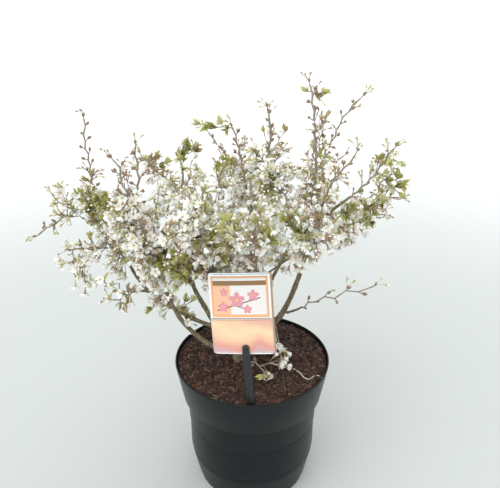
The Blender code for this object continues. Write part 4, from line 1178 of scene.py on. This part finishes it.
def stamens_shape():
    """Seven thin spikes that spread from the middle, each a pyramid with its broad end outwards."""
    points, faces = [], []
    for i in range(7):
        turn, lean = 2 * math.pi * i / 7, 0.30 + 0.25 * (i % 2)
        way = np.array([math.cos(turn) * math.sin(lean), math.sin(turn) * math.sin(lean), math.cos(lean)])
        across = np.array([-math.sin(turn), math.cos(turn), 0.0])
        tip = way * (0.50 + 0.06 * (i % 3))
        side, back = 0.05 * across, 0.08 * np.cross(way, across)
        points.append(np.array([[0.0, 0.0, 0.0], tip + side, tip - side, tip + back]))
        faces.append(np.array([[0, 2, 1], [0, 1, 3], [0, 3, 2], [1, 2, 3]]) + 4 * i)
    return np.vstack(points), np.vstack(faces)


def hung(host, lengths, droop, scatter, rng):
    """Stalks that leave their spur's tip, fan out and droop, where they are clear of label and soil: the
    spurs that bear them, their routes and their end directions."""
    outward = unit(tip_ways[host] + scatter * rng.normal(size=(len(host), 3)))
    routes = bowed(tips[host], outward, rng.uniform(*lengths, len(host)), -droop, len(STALK_PROFILE))
    ways = unit(unit(routes[:, -1] - routes[:, -2]) + STALK_SCATTER * rng.normal(size=(len(host), 3)))
    kept = ~meets_label(routes[:, -1]) & (routes[:, -1, 2] > SOIL_TOP + CLEAR_OF_GROUND)
    return host[kept], routes[kept], ways[kept]


flower_rng = np.random.default_rng(61)
bloom, leafy = bloom_of[spur_mass], leafy_of[spur_mass]
in_bloom = bloom * (1 - OPEN_FALL * spur_depth**1.5) * np.interp(tips[:, 2], BLOOM_HEIGHTS, BLOOM_SHARES)
open_chance = OPEN_SHARE * in_bloom * ~on_rod
open_count = flower_rng.integers(1, 5, len(tips)) * (flower_rng.random(len(tips)) < open_chance)
rod_chance = np.where(at_tip, TIP_FAN_SHARE, ROD_FAN_SHARE)
fan_chance = np.where(on_rod, rod_chance, FAN_SHARE * (1.15 - in_bloom))
early = spur_mass == EARLY_NUMBER
fan_chance = np.where(early, EARLY_FAN_SHARE, fan_chance)
closed_count = flower_rng.integers(2, 6, len(tips)) * (flower_rng.random(len(tips)) < fan_chance)
open_host = np.repeat(np.arange(len(tips)), open_count)
closed_host = np.repeat(np.arange(len(tips)), closed_count)
open_host, open_stalks, open_ways = hung(
    open_host, STALK_LENGTHS, OPEN_DROOP, OPEN_SCATTER, flower_rng
)
closed_host, closed_stalks, closed_ways = hung(
    closed_host, FAN_STALK_LENGTHS, CLOSED_DROOP, CLOSED_SCATTER, flower_rng
)

open_sizes = BLOSSOM_RADIUS * flower_rng.uniform(*OPEN_SIZES, len(open_host))
closed_sizes = BLOSSOM_RADIUS * flower_rng.uniform(*CLOSED_SIZES, len(closed_host))
open_turns = rotations(open_ways, flower_rng.uniform(0, 2 * math.pi, len(open_host)))
closed_turns = rotations(closed_ways, flower_rng.uniform(0, 2 * math.pi, len(closed_host)))
open_hearts = open_stalks[:, -1] + open_ways * (CALYX_LENGTH * open_sizes)[:, None]
closed_hearts = closed_stalks[:, -1] + closed_ways * (CALYX_LENGTH * closed_sizes)[:, None]
form = flower_rng.integers(0, 3, len(open_host))
COROLLAS = (corolla_shape(openness=1.35, cup=0.4, seed=71),
            corolla_shape(openness=1.08, cup=0.8, seed=72),
            corolla_shape(openness=0.66, cup=1.2, seed=73))


def petal_finish(name, light, dark):
    """Thin petals: they scatter light a little under their surface."""
    made = mottled(name, light, dark, scale=260.0, spread=0.25, roughness=0.55, bump=0.15, depth=0.0003,
                   specular=0.35)
    set_inputs(made.node_tree.nodes["Principled BSDF"], Subsurface_Weight=0.2, Subsurface_Scale=0.002)
    return made


blush = (spur_spray * 7 % 10) < BLUSH_TENTHS
for label, light, dark, flushed in (
    ("white", (0.96, 0.96, 0.92), (0.92, 0.92, 0.86), False),
    ("blush", (0.96, 0.93, 0.90), (0.93, 0.87, 0.84), True),
):
    finish = petal_finish(f"petal_{label}", light, dark)
    shapes = []
    for kind, corolla in enumerate(COROLLAS):
        picked = (blush[open_host] == flushed) & (form == kind)
        points, faces = scattered(*corolla, open_hearts[picked], open_turns[picked], open_sizes[picked])
        shapes.append((points, faces[:0], faces))
    points, _, faces = joined(shapes)
    piece(f"petals_{label}", (points, faces), finish, "blossom_and_leaf")
    picked = blush[closed_host] == flushed
    shape = scattered(*closed_shape(), closed_hearts[picked], closed_turns[picked], closed_sizes[picked])
    piece(f"closed_{label}", shape, finish, "blossom_and_leaf")

host = np.concatenate([open_host, closed_host])
stalks = np.concatenate([open_stalks, closed_stalks])
hearts = np.concatenate([open_hearts, closed_hearts])
turns = np.concatenate([open_turns, closed_turns])
sizes = np.concatenate([open_sizes, closed_sizes * CLOSED_CALYX])
girths = np.broadcast_to(STALK_RADIUS * np.array(STALK_PROFILE), (len(host), len(STALK_PROFILE)))
green = (spur_spray * 3 % 10)[host] < GREEN_TENTHS
for label, light, dark, chosen in (
    ("red", (0.470, 0.350, 0.220), (0.330, 0.220, 0.130), ~green),
    ("green", (0.600, 0.575, 0.310), (0.480, 0.450, 0.210), green),
):
    finish = mottled(f"calyx_{label}", light, dark, scale=500.0, spread=0.25, roughness=0.5, bump=0.2,
                     depth=0.0002)
    shape = scattered(*calyx_shape(), hearts[chosen], turns[chosen], sizes[chosen])
    piece(f"calyxes_{label}", shape, finish, "blossom_and_leaf")
    piece(f"stalks_{label}", swept(stalks[chosen], girths[chosen], sides=4), finish, "blossom_and_leaf")

stamen_finish = mottled("stamens", (0.88, 0.80, 0.44), (0.80, 0.68, 0.32), scale=600.0, spread=0.25)
shape = scattered(*stamens_shape(), open_hearts, open_turns, open_sizes)
piece("stamens", shape, stamen_finish, "blossom_and_leaf", smooth=False)


# The young leaves. They break in small fans from the same buds: pointed, folded along the midrib,
# yellow-green on most sprays, olive on some, and bronze where they have just opened.

LEAF_LENGTHS = (0.006, 0.0125)
CLUSTER_LEAF_LENGTHS = (0.0080, 0.0145)
TIP_LEAFINESS = 1.3
ELBOW_LEAFINESS = 0.60
ROD_LEAFINESS = 0.1
EARLY_LEAVES = 10
LEAF_SCATTER = 0.45
LEAF_RISE = 0.20
LEAF_FOLD = 0.55
LEAF_DROOP = 0.18


def leaf_shape(fold, droop):
    """A pointed blade on a grid: its half width is a skewed sine of the way out, its sides rise from the
    midrib by the fold, and its tip bends back by the droop."""
    way, side = np.meshgrid(np.linspace(0.0, 1.0, 5), np.linspace(-1.0, 1.0, 3), indexing="ij")
    width = 0.19 * np.sin(math.pi * way**0.85) + 0.006
    normal = np.abs(side) * width * fold - droop * way**2
    quads = grid_faces(5, 3, False)
    points = np.stack([side * width, normal, way], axis=-1).reshape(-1, 3)
    return points, np.vstack([quads[:, :3], quads[:, [0, 2, 3]]])


leaf_rng = np.random.default_rng(81)
leaf_chance = leafy * np.where(at_tip, TIP_LEAFINESS, np.where(on_rod, ROD_LEAFINESS, ELBOW_LEAFINESS))
leaf_count = leaf_rng.integers(3, 8, len(tips)) * (leaf_rng.random(len(tips)) < leaf_chance)
leaf_count[early] = EARLY_LEAVES
leaf_host = np.repeat(np.arange(len(tips)), leaf_count)
scatter = LEAF_SCATTER * leaf_rng.normal(size=(len(leaf_host), 3))
leaf_ways = unit(tip_ways[leaf_host] + scatter + LEAF_RISE * UP)
early_leaf = early[leaf_host][:, None]
lengths = np.where(early_leaf, CLUSTER_LEAF_LENGTHS, LEAF_LENGTHS)
leaf_sizes = leaf_rng.uniform(lengths[:, 0], lengths[:, 1])
leaf_turns = rotations(leaf_ways, leaf_rng.uniform(0, 2 * math.pi, len(leaf_host)))
leaf_feet = tips[leaf_host] - BUD_SINK * tip_ways[leaf_host]

# Each leaf has a tint from 0 to 9, much the same within a spray, and mixed where the leaves broke early.
# A row below gives a colour's name, its two tones, the first of its tints and the first of the next
# colour's.
leaf_tint = (spur_spray[leaf_host] * 13 + leaf_rng.integers(0, 3, len(leaf_host))) % 10
leaf_tint = np.where(early_leaf[:, 0], np.array([0, 4, 8, 1, 4, 6, 2])[leaf_host % 7], leaf_tint)
LEAF_TINTS = (
    ("yellow_green", (0.530, 0.520, 0.180), (0.400, 0.400, 0.120), 0, 4),
    ("pale_green", (0.690, 0.680, 0.420), (0.570, 0.570, 0.310), 4, 6),
    ("olive", (0.390, 0.375, 0.130), (0.285, 0.280, 0.092), 6, 8),
    ("bronze", (0.410, 0.325, 0.170), (0.300, 0.230, 0.118), 8, 10),
)
for label, light, dark, first, last in LEAF_TINTS:
    picked = (leaf_tint >= first) & (leaf_tint < last)
    finish = mottled(f"leaf_{label}", light, dark, scale=320.0, spread=0.25, roughness=0.5, bump=0.3,
                     depth=0.0003)
    leaf = leaf_shape(LEAF_FOLD, LEAF_DROOP)
    shape = scattered(*leaf, leaf_feet[picked], leaf_turns[picked], leaf_sizes[picked])
    piece(f"leaves_{label}", shape, finish, "blossom_and_leaf")


# The label. A tag of printed white plastic film, folded across its middle, whose second leaf shows behind
# its right edge in a brown that is painted shade. Its print is generic: a blossom spray under a tan band
# above the fold, and soft waves of colour below it. A light blue strip along its top is a painted
# highlight, and a dark line along the fold is painted shade.

CARD_WIDTH = 0.079
CARD_LOWER = 0.050
CARD_UPPER = 0.059
CARD_THICKNESS = 0.0008
CARD_LEAN = math.radians(4)
CARD_FOLD = math.radians(7)
CARD_ROLL = math.radians(-5)
CARD_TURN = math.radians(-8)
CARD_FOOT = (-0.0105, -0.090, 0.254)
CARD_CORNER = 0.0035
CARD_BOW = 0.0010
CARD_COLUMNS = 20
CARD_ROWS = 30
REAR_LIFTS = (-0.0021, -0.0015)
REAR_SHIFT = 0.0022
PRINT_LIFT = 0.00006
PRINT_COLUMNS = 36
PRINT_ROWS = 16


def on_label(points):
    """Points given across, back from and up the label, set in place: rolled a little, turned to the left,
    and moved to the card's foot."""
    turned_so = Matrix.Rotation(CARD_TURN, 3, "Z") @ Matrix.Rotation(CARD_ROLL, 3, "Y")
    return points @ np.array(turned_so).T + CARD_FOOT


def on_card(x, up, lift):
    """The place of a point of the card, from its distances across and up the card and out of its face.
    The card leans back, more above its fold, and bows a little towards the viewer at its middle."""
    lower, upper = np.minimum(up, CARD_LOWER), np.maximum(up - CARD_LOWER, 0.0)
    lean = np.where(up > CARD_LOWER, CARD_LEAN + CARD_FOLD, CARD_LEAN)
    bow = CARD_BOW * (x / (CARD_WIDTH / 2)) ** 2
    back = lower * math.sin(CARD_LEAN) + upper * math.sin(CARD_LEAN + CARD_FOLD) + bow - lift * np.cos(lean)
    high = lower * math.cos(CARD_LEAN) + upper * math.cos(CARD_LEAN + CARD_FOLD) + lift * np.sin(lean)
    return on_label(np.stack([x, back, high], axis=-1))


def sheet(x, up, low, high):
    """A closed sheet on the card from grids of distances across and up it, between two lifts. Rows run up
    the card. Each row becomes a ring round the front and back, and the first and last rings close as
    strips."""
    rows, columns = x.shape
    front, back = on_card(x, up, high), on_card(x, up, low)
    rings = np.concatenate([front, back[:, ::-1]], axis=1)
    i = np.arange(columns - 1)
    first = np.stack([i, i + 1, 2 * columns - 2 - i, 2 * columns - 1 - i], axis=-1)
    last = first[:, ::-1] + (rows - 1) * 2 * columns
    faces = np.vstack([grid_faces(rows, 2 * columns, True), first[:, ::-1], last[:, ::-1]])
    return rings.reshape(-1, 3), faces[:, ::-1], np.empty((0, 3), int)


def leaf_of_card(low, high, shift):
    """A whole leaf of the card: each row is as wide as the rounded corners leave it."""
    height = CARD_LOWER + CARD_UPPER
    round_in = CARD_CORNER * (1 - np.cos(np.linspace(0, math.pi / 2, 6)))
    straight = np.linspace(CARD_CORNER, height - CARD_CORNER, CARD_ROWS + 2)[1:-1]
    up = np.concatenate([round_in, straight, height - round_in[::-1]])
    near_end = np.minimum(np.minimum(up, height - up), CARD_CORNER)
    half = CARD_WIDTH / 2 - CARD_CORNER + np.sqrt(CARD_CORNER**2 - (CARD_CORNER - near_end) ** 2)
    across = half[:, None] * np.linspace(-1.0, 1.0, CARD_COLUMNS) + shift
    return sheet(across, np.repeat(up[:, None], CARD_COLUMNS, axis=1), low, high)[:2]


def field(left, right, bottom, top, layer):
    """A flat coloured field on the card, of print or painted light, between a left and a right edge, and
    between two heights that are numbers or functions of the distance across."""
    across = np.linspace(left, right, PRINT_COLUMNS)
    low = bottom(across) if callable(bottom) else np.full(PRINT_COLUMNS, bottom)
    high = top(across) if callable(top) else np.full(PRINT_COLUMNS, top)
    up = low + (high - low) * np.linspace(0.0, 1.0, PRINT_ROWS)[:, None]
    lift = CARD_THICKNESS / 2 + PRINT_LIFT * layer
    return sheet(np.repeat(across[None], PRINT_ROWS, axis=0), up, lift - PRINT_LIFT / 2, lift)


def spot(x, up, length, width, turn, layer):
    """A printed oval: a very flat turned lens, stretched, turned and laid on the card."""
    lens = np.array([(0.0, 1.0), (0.5, 0.9), (0.9, 0.6), (1.0, 0.0), (0.9, -0.6), (0.0, -1.0)])
    points, quads, ends = turned(lens, 20)
    along_oval, over_oval = points[:, 0] * length / 2, points[:, 1] * width / 2
    cos, sin = math.cos(turn), math.sin(turn)
    lift = CARD_THICKNESS / 2 + PRINT_LIFT * (layer + 0.4 * points[:, 2])
    place = on_card(x + along_oval * cos - over_oval * sin, up + along_oval * sin + over_oval * cos, lift)
    return place, quads, ends


def printed_blossom(x, up, size, layer):
    """Five ovals round a middle."""
    angle = np.linspace(0, 2 * math.pi, 5, endpoint=False) + 0.3
    out = 0.30 * size
    return [spot(x + out * math.cos(a), up + out * math.sin(a), 0.5 * size, 0.36 * size, a, layer)
            for a in angle]


FOLD = CARD_LOWER
BLOSSOMS = ((-0.004, FOLD + 0.024, 0.019), (0.017, FOLD + 0.030, 0.014), (-0.022, FOLD + 0.015, 0.013),
            (0.009, FOLD + 0.012, 0.011), (-0.020, FOLD + 0.034, 0.010))
PRINT_AND_PAINTED_LIGHT = (
    # A light blue strip along the top edge of the upper leaf: a painted highlight, the gloss of the film.
    ("painted_gloss_strip", (0.40, 0.58, 0.68), [field(-0.034, 0.038, FOLD + 0.0565, FOLD + 0.0582, 1)]),
    ("print_apricot", (0.86, 0.40, 0.17), [field(-0.0365, 0.0365, FOLD + 0.0015, FOLD + 0.0550, 1)]),
    ("print_cream", (0.80, 0.77, 0.74), [field(-0.0340, 0.0340, FOLD + 0.0050, FOLD + 0.0530, 2)]),
    ("print_tan", (0.26, 0.145, 0.060), [field(-0.0340, 0.0340, FOLD + 0.0430, FOLD + 0.0490, 3)]),
    ("print_blush", (0.86, 0.50, 0.32), [field(-0.0340, -0.0120, FOLD + 0.0050, FOLD + 0.0430, 2.5)]),
    ("print_twig", (0.14, 0.085, 0.065), [
        field(-0.030, 0.026, lambda x: FOLD + 0.0185 + 0.30 * x, lambda x: FOLD + 0.0200 + 0.30 * x, 3),
        field(-0.012, 0.012, lambda x: FOLD + 0.0140 - 0.35 * x, lambda x: FOLD + 0.0150 - 0.35 * x, 3)]),
    ("print_pink", (0.74, 0.30, 0.36), sum((printed_blossom(*flower, 4) for flower in BLOSSOMS), [])),
    ("print_hearts", (0.80, 0.50, 0.13), [
        spot(x, up, 0.2 * size, 0.2 * size, 0, 5) for x, up, size in BLOSSOMS]),
    # A dark line along the fold: painted shade, where the upper leaf's edge shades the lower.
    ("painted_fold_shade", (0.20, 0.13, 0.11), [field(-0.0385, 0.0385, FOLD - 0.0005, FOLD + 0.0004, 2)]),
    ("print_sky", None, [field(-0.0392, 0.0392, 0.0012, FOLD - 0.0012, 1)]),
)


def film_finish(name, colour):
    """A plain colour under a soft shine, for ink on plastic film, the film, painted highlight and shade."""
    return new_material(name, Base_Color=(*colour, 1.0), Roughness=0.35)[0]


SKY_HEIGHTS = (0.254, 0.304)
SKY_BEND = 0.050
SKY_STOPS = ((0.0, (0.50, 0.47, 0.50)), (0.22, (0.76, 0.34, 0.28)), (0.45, (0.86, 0.55, 0.36)),
             (0.68, (0.88, 0.68, 0.42)), (1.0, (0.80, 0.46, 0.34)))


def sky_finish():
    """The print below the fold: bands of evening colours that run into each other, bent by broad noise."""
    made = film_finish("print_sky", (0.8, 0.6, 0.5))
    tree = made.node_tree
    place, split = add_node(tree, "ShaderNodeTexCoord"), add_node(tree, "ShaderNodeSeparateXYZ")
    noise = add_node(tree, "ShaderNodeTexNoise", Scale=22.0, Detail=2.0)
    bend = add_node(tree, "ShaderNodeMath")
    bend.operation = "MULTIPLY_ADD"
    bend.inputs[1].default_value = SKY_BEND
    low, high = (height + SKY_BEND / 2 for height in SKY_HEIGHTS)
    height = add_node(tree, "ShaderNodeMapRange", From_Min=low, From_Max=high)
    ramp = add_node(tree, "ShaderNodeValToRGB")
    stops = ramp.color_ramp.elements
    while len(stops) < len(SKY_STOPS):
        stops.new(0.5)
    for stop, (position, colour) in zip(stops, SKY_STOPS):
        stop.position = position
        stop.color = (*colour, 1.0)
    wire(tree, (place, "Object", split, "Vector"), (place, "Object", noise, "Vector"),
         (noise, "Fac", bend, 0), (split, "Z", bend, 2), (bend, "Value", height, "Value"),
         (height, "Result", ramp, "Fac"), (ramp, "Color", tree.nodes["Principled BSDF"], "Base Color"))
    return made


card_white = film_finish("card_white", (0.93, 0.93, 0.92))
# The rear leaf's brown is painted shade: the dark edge that shows behind the front leaf's right side.
card_rear_shade = film_finish("card_rear_shade", (0.46, 0.30, 0.19))
front_leaf = leaf_of_card(-CARD_THICKNESS / 2, CARD_THICKNESS / 2, 0.0)
rear_leaf = leaf_of_card(*REAR_LIFTS, REAR_SHIFT)
piece("card_front_leaf", front_leaf, card_white, "label_card", "label_card", smooth=False)
piece("card_rear_leaf", rear_leaf, card_rear_shade, "label_card", "label_card", smooth=False)
for name, colour, shapes in PRINT_AND_PAINTED_LIGHT:
    shape = joined(shapes)
    finish = film_finish(name, colour) if colour else sky_finish()
    piece(name, shape if len(shape[-1]) else shape[:-1], finish, "label_card", smooth=False)


# The label's holder. A flat black moulded strip stuck in the soil, with a rib down its front, that ends
# in a round stud. The stud is pressed through the card's foot.

HOLDER_WIDTH = 0.0105
HOLDER_THICKNESS = 0.0024
HOLDER_FOOT = (-0.0015, -0.1035)
HOLDER_SUNK = 0.004
STUD_RADIUS = 0.0048
STUD_DOME = ((0.0, 0.0032), (0.55, 0.0030), (0.85, 0.0022), (1.0, 0.0008), (1.0, 0.0), (0.0, 0.0))
STUD_PLACE = (0.003, 0.009)
LABEL_FRONT = -CARD_THICKNESS / 2 - GAP


def holder_strip():
    """A section with rounded corners and a low rib in front, carried straight from the soil to the stud."""
    half, thick = HOLDER_WIDTH / 2, HOLDER_THICKNESS / 2
    section = np.array([
        (-half, 0.0), (-half * 0.94, -thick * 0.8), (-half * 0.85, -thick), (-half * 0.22, -thick),
        (-half * 0.14, -thick * 1.5), (half * 0.14, -thick * 1.5), (half * 0.22, -thick),
        (half * 0.85, -thick), (half * 0.94, -thick * 0.8), (half, 0.0), (half * 0.92, thick * 0.9),
        (-half * 0.92, thick * 0.9),
    ])
    cos, sin = math.cos(CARD_TURN), math.sin(CARD_TURN)
    section = section @ np.array([[cos, sin], [-sin, cos]])
    foot = np.array([*HOLDER_FOOT, SOIL_TOP - HOLDER_SUNK])
    top = on_label(np.array([STUD_PLACE[0], LABEL_FRONT - thick, STUD_PLACE[1]]))
    share = np.array([0.0, 0.02, 0.3, 0.6, 0.9, 0.97, 1.0])[:, None, None]
    narrow = np.array([1.0, 1.0, 1.0, 1.0, 1.0, 0.85, 0.5])[:, None, None]
    outlines = np.concatenate([section * narrow, np.zeros((len(share), len(section), 1))], axis=-1)
    rings = foot + (top - foot) * share + outlines
    points = np.vstack([rings.reshape(-1, 3), foot, top])
    return points, *(faces[:, ::-1] for faces in tube_faces(len(share), len(section)))


def holder_stud():
    """A round stud with a domed face, turned about an axis that stands square to the card."""
    points, *faces = turned(np.array(STUD_DOME) * np.array([STUD_RADIUS, 1.0]), 28)
    across, up = STUD_PLACE
    return on_label(points[:, [0, 2, 1]] * np.array([1.0, -1.0, 1.0]) + (across, LABEL_FRONT, up)), *faces


holder_plastic = mottled("holder_plastic", (0.014, 0.018, 0.020), (0.009, 0.012, 0.013), scale=60.0,
                         spread=0.3, roughness=0.42, bump=0.1, depth=0.0002)
holder = joined([holder_strip(), holder_stud()])
piece("label_strip", holder, holder_plastic, "holder_black", "label_holder", smooth=False)


# The studio. A pale floor painted paler with the distance, painted light that fades it into a pale sky,
# broad soft lights from above, and the camera where the plant was seen from: above its crown, tilted down
# a little.

CAMERA_PLACE = (-0.0031, -0.7499, 0.710)
CAMERA_TILT = math.radians(18.87)
SENSOR_WIDTH = 36.0
FOCAL_LENGTH = 43.3
VIEW_SHIFT = -0.12
FLOOR_HALF = 40.0
FLOOR_DROP = 0.0004
# The floor's colour is painted paler from the near distance to the far one: painted light.
FLOOR_NEAR = 0.6
FLOOR_FAR = 2.1
FLOOR_TONE = (0.522, 0.551, 0.533)
SKY_COLOUR = (0.98, 0.99, 1.0, 1.0)
SKY_STRENGTH = 1.12


def paint_floor_light(made):
    """A floor that pales with the distance from its middle: painted light, as on a lit studio sweep."""
    tree = made.node_tree
    place, far = add_node(tree, "ShaderNodeTexCoord"), add_node(tree, "ShaderNodeVectorMath")
    far.operation = "LENGTH"
    share = add_node(tree, "ShaderNodeMapRange", From_Min=FLOOR_NEAR, From_Max=FLOOR_FAR)
    share.interpolation_type = "SMOOTHSTEP"
    mix = colour_mix(tree, A=FLOOR_TONE)
    base = tree.nodes["Principled BSDF"].inputs["Base Color"]
    tree.links.new(base.links[0].from_socket, mix.inputs["B"])
    wire(tree, (place, "Object", far, 0), (far, "Value", share, "Value"), (share, "Result", mix, "Factor"))
    tree.links.new(mix.outputs["Result"], base)


corners = [(x * FLOOR_HALF, y * FLOOR_HALF, -FLOOR_DROP) for x, y in ((-1, -1), (1, -1), (1, 1), (-1, 1))]
floor_mesh = fill_mesh("studio_floor", np.array(corners), np.array([[0, 1, 2, 3]]))
floor_finish = mottled("studio_floor", (0.80, 0.82, 0.81), (0.78, 0.80, 0.79), scale=3.0, spread=0.3,
                       roughness=0.8)
paint_floor_light(floor_finish)
floor_mesh.materials.append(floor_finish)
floor = bpy.data.objects.new("studio_floor", floor_mesh)
bpy.context.scene.collection.objects.link(floor)

world = bpy.data.worlds.new("studio")
world.use_nodes = True
set_inputs(world.node_tree.nodes["Background"], Color=SKY_COLOUR, Strength=SKY_STRENGTH)
bpy.context.scene.world = world
bpy.context.scene.view_settings.view_transform = "Standard"


def broad_light(name, place, spread, strength):
    """A sky light as broad as a window wall, from a place towards the origin."""
    lamp = bpy.data.lights.new(name, "SUN")
    lamp.angle = math.radians(spread)
    lamp.energy = strength
    holder = bpy.data.objects.new(name, lamp)
    holder.rotation_euler = (-Vector(place)).to_track_quat("-Z", "Y").to_euler()
    bpy.context.scene.collection.objects.link(holder)


broad_light("key_light", (-0.7, -0.9, 1.5), spread=50, strength=1.05)
broad_light("back_light", (0.6, 1.0, 1.2), spread=60, strength=0.50)

camera = bpy.data.objects.new("camera", bpy.data.cameras.new("camera"))
camera.data.sensor_width = SENSOR_WIDTH
camera.data.lens = FOCAL_LENGTH
camera.data.shift_y = VIEW_SHIFT
camera.location = CAMERA_PLACE
camera.rotation_euler = (math.pi / 2 - CAMERA_TILT, 0.0, 0.0)
bpy.context.scene.collection.objects.link(camera)
bpy.context.scene.camera = camera
